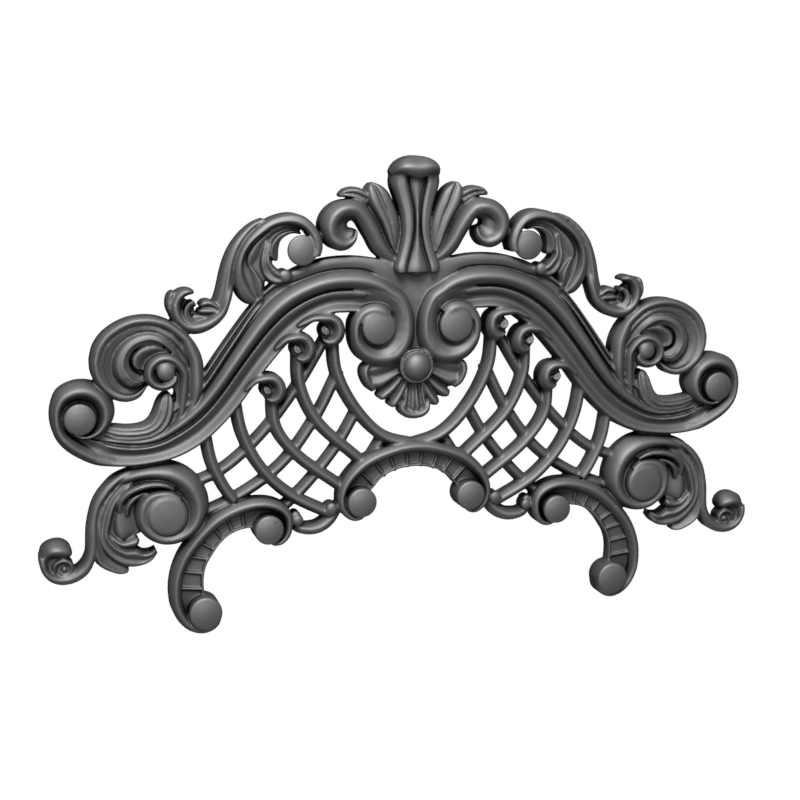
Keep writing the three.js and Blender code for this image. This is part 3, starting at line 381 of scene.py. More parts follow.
# Big side scroll: a hooked stem, three nested members, a tongue, and a small volute about a knob.
def side_scroll():
    h = RIM_HEIGHT
    outer_roll = [
        [-188, -52, -198, -56, 12], [-180, -41.5, -190, -46, 14], [-174.3, -31, -184, -34, 16],
        [-171.7, -20, -183, -22, h], [-171.4, -10, -183.5, -11], [-172.2, -1, -184, -1],
        [-175.5, 8.5, -186.5, 6], [-181, 17, -189, 15], [-188.5, 24.5, -192.5, 18.5],
        [-198, 31, -200, 24.7], [-208, 34.6, -208.5, 27.8], [-218, 35.4, -217.5, 29.2],
        [-229, 33.9, -227, 28], [-239.5, 29.6, -236, 24], [-249.5, 22.3, -244, 17.8],
        [-256, 13, -249, 10], [-259, 2, -251.4, 1.5],
    ]
    outer_end = [
        [-259, 2, -251.4, 1.5, h], [-258.2, -8, -250.2, -8], [-253.5, -18, -246.5, -16],
        [-246, -25.8, -240.5, -21.5], [-237.5, -30, -234.5, -24.5], [-229, -30.4, -229, -25.2, 17],
        [-221.5, -27.6, -222.5, -23, 15], [-215, -18.8, -216.2, -18.2, 12],
    ]
    second = [
        [-184, -6, -187.5, -8, 11.5], [-184, 3, -187.5, 2, 13.5], [-188.5, 13, -191.5, 9.5, 15.5],
        [-194.5, 19.6, -196, 14.5, 17], [-201, 24, -203, 18.8, 17.5], [-209, 27.4, -209, 21.8],
        [-217.5, 28.8, -217, 22.4], [-226.5, 27.4, -225.5, 20.6], [-235, 23.6, -233, 16],
        [-242.8, 17.4, -238.5, 10], [-248.3, 9.5, -241.5, 2], [-251, 1, -242.3, -5],
        [-250.2, -8.5, -240.7, -11], [-247, -16, -237.3, -16], [-241.5, -22, -233, -19.6, 16.5],
        [-235.5, -25.5, -227, -21], [-229, -26.2, -221.5, -19.7, 15], [-221, -23.5, -217.5, -17, 13],
    ]
    third = [
        [-188, -9, -191.5, -11, 11], [-188.5, 1, -192, -1, 12.5], [-192, 9, -196, 5.5, 14.5],
        [-197, 15, -201, 11, 16.5], [-204, 19.6, -205.5, 14.5, 17.8], [-211, 22, -212, 17],
        [-218, 22.2, -219, 16.5], [-226, 20.2, -226, 13.5], [-233.2, 15.8, -231, 8.5],
        [-238.8, 9.6, -233.5, 2.5], [-242, 1.5, -233.8, -3], [-242.3, -5.5, -232, -7.5],
        [-240.5, -11.5, -229, -11, 18], [-237, -16, -225.5, -13.8, 17.5],
        [-232.5, -19.6, -222, -14.7], [-227, -21, -219.5, -14, 16], [-221, -19.5, -218, -13, 15],
        [-217, -14.5, -217, -12, 13],
    ]
    fourth = [
        [-204, 15, -203, 10.5, 17], [-212, 17.3, -211, 12.6, 17.5], [-219, 16.8, -217.5, 12.5, 18],
        [-226, 13.8, -224, 10.5], [-231, 8.8, -227.5, 7], [-233.6, 3, -229.5, 2],
        [-234, -2.5, -229, -3], [-232.2, -7.5, -227, -6.5], [-229, -11.2, -223.5, -8.8, 17],
        [-225.5, -14, -221, -10.2, 16], [-221.5, -14.7, -219, -11, 15], [-218, -13.2, -217, -11, 13],
    ]
    tongue = [
        [-196, 7, -199, 1, 13], [-202, 11.5, -203, 4, 14.5], [-209.5, 13.6, -209, 4, 15.5],
        [-217, 13.6, -213, 2, 16], [-223.5, 11, -216, 0], [-228, 6.6, -217.5, -2.5],
        [-229, 1.6, -218.5, -4], [-227.3, -3, -219.5, -5], [-223.5, -5.8, -219.5, -6.2, 15],
        [-220, -6.4, -219, -6.8, 13],
    ]
    hook = [
        [-190, -50, -199, -54, 12], [-184, -40, -196, -44, 14], [-182, -29, -195, -32, 15.5],
        [-181.7, -19, -193.5, -20.5, 17], [-183.5, -9, -191, -12, 18.5], [-188.5, -1, -194, -5.5, 19.5],
        [-194.5, 4, -197.5, -2, 20], [-202, 6.5, -202, -1.2], [-209.8, 4.8, -207, -3],
        [-216, -0.5, -210.5, -6.6], [-218.6, -8.5, -211, -11], [-217, -16, -208.5, -15.4],
        [-211, -21.5, -204, -16.6], [-203.5, -23.2, -200, -15.4],
        [-197.5, -21.5, -197.5, -13.4, 19.5], [-193.5, -17, -196, -12, 19],
        [-192.5, -12.5, -195.5, -10.5, 18],
    ]
    return [
        band(outer_roll, ROLL),
        band(outer_end, ROLL, RIM),
        band(second, GENTLE, VALLEY),
        band(third, SWELL),
        band(fourth, SLOPE),
        band(tongue, HOLLOW),
        band(hook, VOLUTE),
        band([[-197, 4, -187, 10, 9], [-207, 5, -206, 28], [-213, 4, -218, 30], [-219, 0, -236, 26],
              [-220, -2, -251, 10], [-220, -6, -253, -4], [-219, -11, -247, -18],
              [-218, -14, -234, -25]], FLAT),
        ball(-202, -8, 7.4, 3.5, 16.5),
        band([[-177, -42, -190, -47, 12], [-174.5, -25, -190, -30], [-174.5, -8, -192, -12],
              [-177, 6, -192, 0], [-184, 17, -197, 8]], FLAT),
        band([[-212, -8, -198, 4, 13], [-208, -16, -194, -6], [-200, -19, -190, -14],
              [-194, -26, -184, -20, 12], [-196, -40, -182, -34]], FLAT),
    ]


# The small fluted leaf inside the side scroll.
def side_leaf():
    return [band([
        [-246, -48.5, -250, -57, 12], [-240, -49, -242, -61.3, 13], [-233, -50, -233, -62.3, 14],
        [-226, -50, -222, -62.3, 15], [-219.5, -48.8, -212, -60.6, 15.5],
        [-215, -45.8, -204, -56.2, 16], [-212.3, -41.5, -198, -48.7], [-210.3, -36.5, -195.7, -41],
        [-208.5, -32, -195.2, -34, 15.5], [-206.3, -28.5, -196.2, -28.5, 14.5],
        [-203, -25.6, -199.5, -24.8, 13],
    ], LOOP_LEAF)]


# Upper acanthus: a stem that climbs from a small curl, a rib that ends in a ball, and torn leaves.
def upper_acanthus():
    stem = [
        [-163.5, 44, -153, 38, 14.5], [-160.6, 52, -148.8, 48, 16], [-159, 58.5, -147.6, 57],
        [-156.6, 68.5, -147, 66.5], [-153.4, 78, -145.6, 75.5], [-148.6, 87.5, -142.6, 85],
        [-141, 97, -137, 94, 15], [-132, 104.2, -129.5, 101.7, 14], [-123, 108, -120.5, 106, 13],
    ]
    curl = [
        [-150.6, 62, -147.8, 60, 13], [-153.6, 54, -148, 52, 16], [-156, 46, -150, 44.5, 17],
        [-159.5, 38.5, -154, 34], [-165.5, 34, -161.2, 26.2], [-172, 31.5, -169.6, 21.4],
        [-178.5, 30.5, -178, 19.6], [-184, 32, -186, 21.5], [-187, 35.5, -192.7, 27],
        [-188, 40, -197, 34], [-187.6, 44.5, -198.2, 41.5], [-185.8, 48, -195.5, 49],
        [-183, 50, -190.5, 54.2], [-180.3, 50.8, -184, 55.8], [-178, 51.4, -178.5, 54.3, 14],
    ]
    outer_leaf = [
        [-196.5, 33, -194, 33, 12], [-199.6, 41, -196, 41, 14], [-199.3, 48, -195, 47],
        [-197.2, 52.2, -193.5, 50.5], [-194.5, 53.8, -192, 52.5, 12],
    ]
    inner_curl = [
        [-176, 25.5, -172, 29, 13], [-181.5, 26.5, -177, 31, 14.5], [-186, 30.5, -181, 33.5, 15.5],
        [-187.4, 36, -182.4, 37], [-185.8, 41.5, -181.5, 40.5], [-182.5, 45, -179.8, 42, 15],
        [-179, 46, -178, 42.5], [-176.6, 43, -177.5, 40.5, 13],
    ]
    lobes = [
        [[-159, 41, -160.5, 37.5, 15], [-163.5, 45, -164.5, 40.5], [-168, 46.6, -168, 41],
         [-172, 45.6, -171.6, 40.6], [-174.6, 42.6, -174, 41, 13]],
        [[-158.5, 38, -160, 33.5, 14.5], [-163.5, 40.5, -165, 34], [-168.5, 40.8, -169.5, 34.2],
         [-173, 39.8, -173.5, 35.4], [-175.6, 38, -175.5, 36.6, 12.5]],
        [[-160, 34, -163, 30.5, 12], [-166.5, 35, -169, 29], [-173.5, 35.8, -176, 29.5],
         [-178.5, 36, -180.5, 31.5, 11]],
    ]
    rib = [
        [-127, 41, -124, 42.5, 10], [-137, 41.5, -128.5, 46, 14], [-143, 46.5, -134, 54, 16],
        [-146.6, 54, -138, 62, 17], [-147.6, 63, -140, 70, 18], [-146.6, 73, -139.5, 78, 18.5],
        [-143.3, 83, -135.5, 86.5, 19], [-138, 92, -129.5, 92.5], [-130, 100, -122, 97.5],
        [-121, 106.5, -114.5, 101.8], [-110, 110.7, -106, 103.2], [-100, 111.7, -99.5, 102.4, 19.5],
        [-91, 109, -93, 99.8, 20], [-83.5, 102.5, -88.5, 95, 20.5], [-78.6, 94.5, -85.5, 89, 21],
        [-77, 85.5, -84.5, 83], [-79, 78, -86, 78],
    ]
    top_leaf = [
        [-93, 99, -94, 97.5, 12], [-100, 102.6, -101, 99.4, 14], [-107, 103.2, -107.5, 98.6, 15],
        [-114.5, 101.6, -114, 95.6], [-122, 97.2, -119.3, 90.5], [-129.5, 92, -122.6, 84],
        [-135.3, 86, -124.8, 77.5, 15], [-138.6, 79, -127, 73.5, 14.5], [-138, 73, -130, 70.8, 13.5],
        [-135.2, 69.2, -132.6, 68.8, 11],
    ]
    bright_leaf = [
        [-92.5, 96, -94, 95, 13], [-99.5, 98.2, -100.5, 96, 15], [-106.5, 97.8, -106.3, 94, 16],
        [-113, 95, -109.8, 90.6], [-118.2, 89.6, -111.2, 85.8], [-120.5, 82.5, -111.5, 80.2, 15],
        [-118.6, 77.4, -111.8, 76, 14], [-115.4, 75.2, -113, 74.2, 12],
    ]
    curled_leaf = [
        [-122, 92, -118.5, 89.5, 14], [-125.2, 82, -118.8, 80, 15], [-126.6, 73, -117.8, 74.5, 16],
        [-125, 64.5, -114.8, 71], [-120.2, 58.4, -111.5, 68, 17], [-113.5, 56.6, -108.8, 65.6],
        [-107.5, 58.4, -105.5, 63.6, 16], [-104, 62.4, -104.5, 65.5, 14],
    ]
    tail_leaf = [
        [-139, 75, -132, 70.6, 13], [-139, 66, -126.6, 66, 14.5], [-137.5, 58, -121.8, 58.5, 15.5],
        [-134.5, 51, -122.4, 51.5, 15], [-130.5, 45.5, -122, 45.2, 13.5],
        [-127, 41.5, -123.5, 41.2, 11],
    ]
    return [
        band(stem, FOLDED_STEM),
        band(curl, ROLL, BEAD),
        band(outer_leaf, BEAD),
        band(inner_curl, LEAF),
        *(band(lobe, BEAD) for lobe in lobes),
        band([[-190, 30, -174, 26, 8], [-190, 38, -176, 34], [-188, 50, -179, 43]], FLAT),
        band([[-104, 104, -102, 97, 12], [-120, 101, -112, 91], [-134, 94, -118, 85],
              [-141, 82, -117, 78, 11], [-142, 70, -116, 68], [-139, 56, -120, 60]], FLAT),
        band(rib, SWELL_RIB),
        band(top_leaf, HOLLOW),
        band(bright_leaf, LEAF),
        band(curled_leaf, HOLLOW_RIB),
        band(tail_leaf, FOLD),
        ball(-106.8, 63, 5.2, 3, 14),
        eye(-93.8, 83, 12.2, 21, 7.5),
    ]


# Lower acanthus: a volute, a long rib that runs out to a curled end, and torn leaves between them.
def lower_acanthus():
    rib = [
        [-226, -82.5, -224, -85, 10], [-235.5, -85.8, -231, -89, 12.5], [-243, -90, -238, -93, 14],
        [-250, -95.3, -245, -99, 15], [-256, -101.9, -250, -106, 15.5], [-260.6, -110, -254.4, -113],
        [-263.6, -120, -256.6, -121], [-265.6, -131, -257.2, -131, 16], [-266.2, -141, -257, -141],
        [-266.6, -148, -258.8, -151],
        [-268.3, -153, -261.5, -159], [-271.5, -157.5, -265.5, -165.5], [-276, -161, -271.5, -170],
        [-281, -163.8, -279, -172.6], [-287, -164.5, -287, -172.6], [-292.5, -162.5, -294.5, -169.5],
        [-296, -159, -299.7, -163.5], [-296.5, -155, -302.4, -156], [-296.5, -152, -302.6, -149, 15],
    ]
    knob = [
        [-302.6, -151, -296.5, -156, 13], [-300.4, -143, -294, -153.4, 15],
        [-296, -139.3, -291, -151.6, 17], [-290, -137.6, -287, -152, 18],
        [-284, -138.3, -283, -152.8, 17.5], [-279, -142, -279.5, -151.8, 15.5],
        [-277, -146.5, -277.6, -149.8, 13],
    ]
    curl = [
        [210, 11, 7, 12.5], [150, 10, 6, 14], [90, 9, 5, 14.5], [30, 8, 4.2, 14.5], [-30, 7.2, 3.6, 14],
        [-90, 6.6, 3.2, 13.5], [-150, 6, 2.8, 13],
    ]
    lower_leaf = [
        [-259.2, -138, -257.2, -137, 14], [-260, -150, -254.5, -147, 14.5],
        [-259.5, -157.4, -250, -153.5], [-255, -162.3, -244.5, -158.3],
        [-248, -166.5, -239, -161.5, 14], [-241, -168.8, -235.5, -163.5, 13],
        [-235.2, -168.3, -233.2, -165.2, 11],
    ]
    great_leaf = [
        [-232, -90, -226, -95, 12], [-243, -97.5, -234, -101, 13.5], [-251, -107, -240, -108, 15],
        [-256, -116, -244, -117, 16], [-258.3, -126, -246.5, -126], [-257.8, -136, -248.5, -134.5],
        [-254.5, -146.5, -245, -141.5], [-248.5, -154.8, -239.5, -145.5], [-241, -160.6, -233, -148],
        [-231.5, -163.8, -227, -147.8, 15.5], [-222.5, -162.9, -221.8, -151, 15],
        [-215.5, -159, -216.3, -150.8], [-211, -153.5, -212.5, -149, 12.5],
    ]
    inner_leaf = [
        [-238, -104, -228, -104, 12], [-244, -112, -228, -112, 13], [-246.5, -120, -226, -120, 13.5],
        [-247.5, -128, -224, -128, 14], [-246.5, -135, -224.5, -134], [-242, -141, -229, -137.5, 13],
    ]
    small_lobe = [
        [-249, -136.3, -247.5, -134.5, 13], [-246, -141.5, -242.5, -138.5, 14.5],
        [-239.5, -146, -238, -141.5, 15.5], [-232, -147.8, -232.5, -139.5],
        [-226.5, -146, -228.5, -138.3], [-224.8, -141.5, -226.5, -138.6, 13.5],
    ]
    fold = [
        [-243, -116, -237.5, -119, 14], [-242, -107.5, -236.8, -110.5, 16.5],
        [-237, -101.5, -232, -105, 18], [-229.5, -97.6, -226.5, -101.5, 19],
        [-221, -95, -220.5, -99.5, 19.5], [-211, -94.4, -211, -98.7], [-203, -96.4, -203.5, -99.8],
        [-197, -100.3, -197.8, -102.3, 18],
    ]
    inner_fold = [
        [-236.4, -120.5, -232.5, -121, 14], [-236.3, -113, -231.5, -114.5, 16],
        [-232.5, -107, -228, -110, 16.5], [-226.5, -103.4, -223.5, -106.6, 16],
        [-219, -101.8, -218, -104.6, 15],
    ]
    volute = [
        [-253, -98, -246, -106, 10], [-244, -89.5, -236, -100, 12], [-232, -84.5, -228, -96.5, 15],
        [-220, -81.5, -219, -95.5, 16],
        [-208, -79.8, -210, -97.5, 17], [-197, -81, -201.5, -100, 18],
        [-186.3, -85.8, -194.5, -104.5, 18.5], [-177, -94, -189.5, -110.5, 19],
        [-171, -105, -187.3, -117], [-169, -116, -187, -123], [-171.2, -127, -189, -129],
        [-177.6, -137, -193, -134], [-187, -143.6, -198, -136.5], [-197.5, -146.6, -203.5, -137.6],
        [-207.5, -146, -209, -136.4], [-216, -142.3, -213.5, -132.5], [-223, -136, -217.5, -127.5],
        [-227, -128, -218.8, -122], [-228.4, -119, -217.5, -117], [-226.5, -110, -214, -113],
        [-220.5, -103.5, -210, -110], [-210.5, -100.9, -205, -109], [-200, -102, -199, -109.5],
        [-192, -107.5, -193.5, -113],
    ]
    return [
        band(volute, VOLUTE, TURN),
        turned(-203.5, -122, [[17.5, 12], [16.4, 17], [15.4, 19.2], [13, 20.2], [0, 20.8]], 96),
        ring(-203.5, -122, [[0, 20, 10, 11], [90, 18, 10, 11], [180, 18, 10, 11], [270, 19, 10, 11],
              [360, 20, 10, 11]], FLAT),
        band([[-196, -94, -192, -112, 10], [-216, -88, -206, -108], [-232, -92, -216, -112],
              [-246, -106, -218, -120], [-251, -126, -218, -128], [-246, -144, -224, -136]], FLAT),
        band(rib, SWELL_RIB, ROLL),
        band(knob, BEAD),
        ring(-283.5, -160.3, curl, SOFT),
        ball(-283.5, -160.3, 2.6, 2, 12),
        band([[-274, -169, -277, -158, 11], [-280, -171, -282, -152], [-287, -171, -288, -145],
              [-297, -164, -297, -150]], FLAT),
        band(lower_leaf, LEAF),
        band(great_leaf, HOLLOW_RIB),
        band(inner_leaf, HOLLOW),
        band(small_lobe, BEAD),
        band(fold, FILLET),
        band(inner_fold, BEAD),
    ]


# A rimmed channel with ribs across it and a round eye at each end: the feet and the middle arch.
def channel(rim, ribs):
    rim_rows = [[*row[:4], RIM_HEIGHT] for row in rim]
    inside = [[row[0], row[1], 1 - row[3], row[4], CHANNEL_HEIGHT] for row in rim if len(row) > 4]
    half = RIB_WIDTH / 2
    rungs = [strand([[ax, az, half, half, RIB_HEIGHT], [bx, bz, half, half, RIB_HEIGHT]], BAR)
             for ax, az, bx, bz in ribs]
    lip = [[row[0], row[1], LIP_WIDTH - row[4], row[4], RIB_HEIGHT] for row in rim if len(row) > 4]
    return [strand(rim_rows, BEAD), strand(inside, FLAT), strand(lip, SOFT), *rungs]


# Rim rows are [x, z, to the outer edge, to the channel, reach of the channel's inner edge].
FOOT_RIM = [
    [-163, -208.5, 0.8, 0.8], [-165.2, -213.6, 1.6, 1.4], [-169.8, -217, 2.6, 2], [-177, -218, 4, 3],
    [-185.5, -215, 4.4, 3.6], [-192, -208.5, 4.6, 4.4], [-196.4, -199.5, 4.6, 4.4, 22],
    [-198, -189, 4.5, 4.6, 23.5], [-197.4, -178, 4.5, 4.6, 22.8], [-194.4, -167, 4.7, 4.8, 21.4],
    [-189.2, -156.5, 5, 5, 19.8], [-182, -147, 5.2, 5, 18.6], [-173.5, -138, 5.4, 5, 17.2],
    [-163.5, -130, 5.6, 5, 16.6], [-152.5, -124.3, 5.4, 4.6, 17], [-140.5, -120.4, 5.2, 4.4, 18.6],
    [-130, -118.8, 4.8, 4.6, 20], [-120.5, -120, 4.8, 4.6, 20], [-112, -124, 4.8, 4.4],
    [-107, -130.5, 4.2, 3.2], [-105.8, -138.5, 3.2, 3.2], [-107.8, -145.8, 3, 3],
    [-113, -150.6, 2.6, 2], [-118.4, -151.6, 1.6, 1.4], [-122.6, -149.4, 0.8, 0.8],
]
FOOT_RIBS = [[-194, -184, -177, -186], [-190.5, -170.5, -176, -173], [-185.5, -158.5, -172.5, -161.5],
    [-177, -147.5, -167, -153.5], [-165.5, -137, -160, -145], [-154.5, -131, -151, -140],
    [-143, -127, -141.5, -138.5]]
ARCH_RIM = [
    [-42.8, -131.6, 0.8, 0.8], [-46.4, -135.2, 1.6, 1.4], [-52, -135.8, 2, 2],
    [-57.5, -132, 2.8, 2.6], [-61, -127, 3, 3], [-62.2, -120, 3.2, 3], [-60.5, -112, 3.8, 3.4, 16],
    [-56.2, -104.5, 4.6, 4, 20], [-50, -97.5, 5, 4.6, 21.5], [-42.5, -91.3, 5, 4.8, 20.5],
    [-33, -86.3, 4.6, 4.8, 18.5], [-22.5, -82.6, 4.3, 4.6, 17.5], [-11.5, -80, 4.2, 4.4, 17.5],
    [0, -79.2, 4.2, 4, 17.3],
]
ARCH_RIBS = [[-6.5, -82, -5.5, -97], [-20.5, -86, -16, -99.5], [-33, -91.5, -24.5, -103.5],
    [-44.5, -98.5, -33.5, -110.5]]


def mirror_row(row):
    return [-row[0], *row[1:]]


def both_sides(rows):
    return [*rows, *(mirror_row(row) for row in rows[-2::-1])]


def foot():
    return [
        *channel(FOOT_RIM, FOOT_RIBS),
        eye(-175.2, -203.8, 13.4),
        eye(-123, -139.2, 11.9),
        ring(-175.2, -203.8, [[90, 17, 9, 9], [140, 19, 9, 9], [190, 18, 9, 9], [240, 15, 9, 9],
              [280, 13, 9, 9]], FLAT),
        ring(-123, -139.2, [[120, 17, 9, 9], [70, 19, 9, 9], [20, 17, 9, 9], [-20, 15, 9, 9],
              [-45, 13, 9, 9]], FLAT),
    ]


def arch():
    ribs = [*ARCH_RIBS, *([-ax, az, -bx, bz] for ax, az, bx, bz in ARCH_RIBS)]
    return [
        *channel(both_sides(ARCH_RIM), ribs),
        eye(-46.3, -122, 12.2),
        eye(46.3, -122, 12.2),
        ring(-46.3, -122, [[100, 16, 9, 9], [150, 15, 9, 9], [200, 14.5, 9, 9], [250, 13, 9, 9]], FLAT),
        ring(46.3, -122, [[80, 16, 9, 9], [30, 15, 9, 9], [-20, 14.5, 9, 9], [-70, 13, 9, 9]], FLAT),
    ]


# Lattice bars, each through a few points of its middle line.
FRONT_BARS = [
    [[-171.3, -58], [-166.5, -83], [-157, -104], [-149, -116]],
    [[-147, -34], [-142, -60], [-128.5, -88], [-105.6, -112.3], [-70, -132.3]],
    [[-117, -26], [-114.5, -57.5], [-97.5, -81.5], [-63, -108.5]],
    [[-96, 2], [-94.8, -24], [-81, -54.5], [-45, -89]],
    [[-67.5, 12], [-64.5, -15], [-49, -46], [-25, -70.5], [3, -79.5]],
]
BACK_BARS = [
    [[-72.4, 12], [-94.9, -24.4], [-125.9, -63.6], [-157, -90], [-183, -101]],
    [[-61.4, -14.4], [-80.9, -51.8], [-110, -89.3], [-146, -113.5], [-176, -126]],
    [[-45.4, -45.5], [-63.9, -76.6], [-90, -107.8], [-113, -128.5]],
    [[-23, -68], [-34.5, -86]],
]


def lattice():
    half = BAR_WIDTH / 2
    bars = [(points, FRONT_BAR_HEIGHT) for points in FRONT_BARS]
    bars += [(points, BACK_BAR_HEIGHT) for points in BACK_BARS]
    return [strand([[x, z, half, half, height] for x, z in points], BAR) for points, height in bars]


# Three buds hang from the main scroll's lip: one drawing, moved, turned and drawn out to a longer tail.
BUD = [[-24, 4, -23, 2.8, 17], [-18, 8.5, -16, 4, 18], [-11, 11.5, -9.5, 6.5, 19],
    [-3, 12.5, -3.5, 5.8, 20], [5, 11.9, 1.5, 5], [11.7, 8.2, 4.4, 2.6], [14.8, 2, 5.4, -0.5],
    [15.2, -4.5, 4.6, -3.6], [12.7, -10.7, 2.6, -5.8, 19], [7.2, -14.4, 0.4, -7, 18],
    [1.2, -13.7, -1.5, -7.2, 16.5], [-3.3, -9, -3, -6.4, 15]]
BUD_CORE = [[2, 3.6, 0.4, 2, 13], [-1.6, 3.8, -0.4, 1.6, 15], [-4.6, 1.2, -2.2, 0.2, 16.5],
    [-4.4, -2.8, -2, -1.6, 17], [-1, -5.4, -0.2, -2.4, 17], [2.8, -4.6, 1.4, -1.6, 16],
    [4.4, -1.6, 2, -0.4, 14.5]]


def bud(x, z, degrees, size, reach):
    c, s = math.cos(math.radians(degrees)), math.sin(math.radians(degrees))

    def place(px, pz):
        along = size * (px * reach if px < 0 else px)
        return x + along * c - size * pz * s, z + along * s + size * pz * c

    curl = [[*place(*row[:2]), *place(*row[2:4]), row[4]] for row in with_heights(BUD)]
    return [
        band(curl, BEAD),
        band([[*place(*row[:2]), *place(*row[2:4]), row[4]] for row in BUD_CORE], SOFT),
        ball(*place(0, -0.8), 2.4, 1.6, 14.5),
        ball(*place(3, -1.5), 8, 1, 11.5),
    ]


# The little link between the foot and the arch.
def link():
    return [
        strand([[-99, -134, 4, 4, 11], [-97.5, -140.5, 5, 5, 12], [-90, -143.2, 5, 5, 13.5],
            [-81.5, -142.8, 5.4, 5.4, 14], [-73.5, -139, 5.8, 5.8, 13], [-67, -132.5, 4.8, 4.8, 12],
            [-64, -125.5, 4, 4, 11]], BEAD),
        ball(-98, -134.8, 4.6, 2.5, 12),
        ball(-99.3, -131.5, 4.2, 2, 10),
        ball(-70, -126.8, 5, 2.5, 13),
    ]


# Crest: a fluted stem with a bulb on top, two leaves and a fat scroll on each side.
def crest_side():
    scroll = [
        [-14, 76.5, -17, 67.5, 13], [-20.3, 83.5, -26.5, 73, 15], [-25.8, 94, -34.5, 79.5, 17],
        [-31, 104, -40.5, 90, 18.5], [-38, 114.5, -46, 99, 19.5], [-47, 120.5, -50.5, 106.5, 20.5],
        [-57, 121.5, -56, 108.5, 21.5], [-66.6, 119, -61, 106.5, 22],
        [-74.6, 112.5, -64.5, 102.5, 22.5], [-78.8, 103, -65, 98.5, 22.5],
        [-77.5, 93, -63.5, 93.8, 22], [-71.3, 85, -60, 91.4], [-62.5, 81.5, -57, 91, 21],
        [-54.5, 83.6, -53.5, 93, 20], [-49.3, 90.5, -51.5, 96, 19], [-48.6, 97, -50.8, 99, 17],
    ]
    bowl = [
        [-47, 107.5, -47, 101.5, 15], [-52.5, 110, -50.5, 104.6, 16], [-58, 109, -53, 105, 17],
        [-63, 105.5, -55.6, 103.6], [-65.3, 100, -56, 101.5, 18], [-64.5, 94.6, -55, 99.8],
        [-60.5, 91, -53.6, 99.3], [-56, 90.6, -52.3, 98.9], [-52, 94, -51, 98.9, 16],
    ]
    tall = [
        [-37, 134, -33, 134.3, 10], [-40.3, 130, -27.5, 132, 13], [-41, 124, -22, 127, 15],
        [-39.3, 117.5, -18, 119, 16], [-35.5, 110.5, -14.5, 110, 16], [-31, 103.5, -12.5, 101, 16],
        [-27, 95, -12, 92, 15.5], [-23.5, 87, -12.5, 84, 15], [-19, 80.5, -14, 76, 14],
    ]
    short = [
        [-62, 125.5, -61.5, 123, 9], [-58.5, 129, -57, 123, 11], [-52, 131, -50.5, 121.5, 12],
        [-45.5, 130.5, -44.5, 118.5, 13], [-40, 128, -39.5, 115.5, 13],
    ]
    return [
        band(scroll, ROLL),
        band(bowl, BOWL),
        band(tall, GROOVED, HOLLOW),
        band(short, GROOVED),
    ]


def crest_stem():
    rows = [[141.5, 19.5, 7.4, 17], [133, 20.2, 6.7, 17], [122, 16.7, 4.5, 17], [112, 13.6, 2.9, 17.5],
            [100, 11.9, 2.4, 18], [92, 12, 3.2, 18], [83, 14, 5, 18.5], [73, 17.5, 7.7, 19.5],
            [67.5, 19, 9.2, 20.5], [63.5, 17.5, 9.6, 20.5]]
    half = CREASE / 2
    left = [[-outer, z, -crease - half, z, height] for z, outer, crease, height in rows]
    right = [[-ax, az, -bx, bz, height] for ax, az, bx, bz, height in left]
    cap = [[20.6, 142.5, 139, 12], [18.4, 147, 142, 19], [15, 150.6, 142.2, 22.5],
        [10.5, 153.2, 141, 24.2], [5.5, 154.7, 138.8, CAP_HEIGHT], [0, 155.1, 137.6, CAP_HEIGHT]]
    cap_rows = [[-x, top, -x * 0.93, bottom, height] for x, top, bottom, height in cap]
    other = [[-ax, az, -bx, bz, height] for ax, az, bx, bz, height in cap_rows[-2::-1]]
    return [
        band(left, DRAPE),
        band(right, DRAPE),
        band([[half - crease, z, crease - half, z, height] for z, _, crease, height in rows], SOFT),
        band([[-outer + 1, z, outer - 1, z, height - STEM_CREASE] for z, outer, _, height in rows], FLAT),
        band([*cap_rows, *other], CAP),
        band([[-9, 68, 9, 68, 18.5], [-7.5, 63.5, 7.5, 63.5, 18.5], [-3, 60.8, 3, 60.8, 17]], SOFT),
    ]


# Shell: seven lobes fan out from a ringed ball below the middle.
def shell():
    def lobe(rows, section):
        other = [[-ax, az, -bx, bz, height] for ax, az, bx, bz, height in with_heights(rows)]
        return [band(rows, section), band(other, section)]

    middle = [[-20, 6.5, 10.5], [-31, 8.8, 12], [-41, 10.8, 13.5], [-47, 12.6, 14], [-51, 11.6, 13.5],
              [-54, 8.5, 12]]
    upper = [
        [-11, -6, -11, -20, 12], [-22, -7, -20, -26.5, 13], [-31, -7.5, -29, -32, 13.5],
        [-37, -9, -34, -31.5, 13], [-40, -12, -38, -27, 12],
    ]
    knuckle = [
        [-38, -8.4, -34.5, -10, 12], [-43.5, -11, -37, -13.5, 14], [-45.4, -16.5, -38, -18, 15],
        [-43.8, -23.5, -36.6, -22.5], [-40, -29.8, -34, -26.6, 14], [-35.5, -33.2, -31.5, -29.6, 12],
    ]
    second = [
        [-10, -17, -6.5, -22, 11], [-21, -27.5, -15.5, -33.5, 12.5], [-29, -32.8, -21, -38.6, 13.5],
        [-31.2, -35.6, -24, -40, 13], [-30, -38.6, -27.4, -40.2, 11],
    ]
    third = [
        [-8, -22, -3, -24, 11], [-15.5, -34, -8.5, -37, 12.5], [-21.6, -41, -12, -44, 13.5],
        [-22, -43.8, -14.5, -46, 13], [-20, -46, -17, -46.6, 11],
    ]
    tip = [
        [-13.2, -44, -10.5, -41.5, 13], [-13, -50, -8, -46.5, 14.5], [-8.8, -54.6, -5.2, -48.8, 15],
        [0, -56.6, 0, -49.8],
    ]
    return [
        band([[-half, z, half, z, height] for z, half, height in middle], MIDDLE_LOBE),
        *lobe(upper, FLUTED),
        *lobe(knuckle, BEAD),
        *lobe(second, BEAD),
        *lobe(third, BEAD),
        band(both_sides_rows(tip), BEAD),
        turned(0, -12.3, [[14.2, 15], [14.2, 17], [13.4, 17.6], [12.6, 17], [12.2, 15.5],
              [0, 15.5]], 64),
        ball(0, -12.3, 11.7, 9, 15.5),
    ]


def both_sides_rows(rows):
    """A member that crosses the middle, from the rows of its left half."""
    full = with_heights(rows)
    return [*full, *([-ax, az, -bx, bz, height] for ax, az, bx, bz, height in full[-2::-1])]


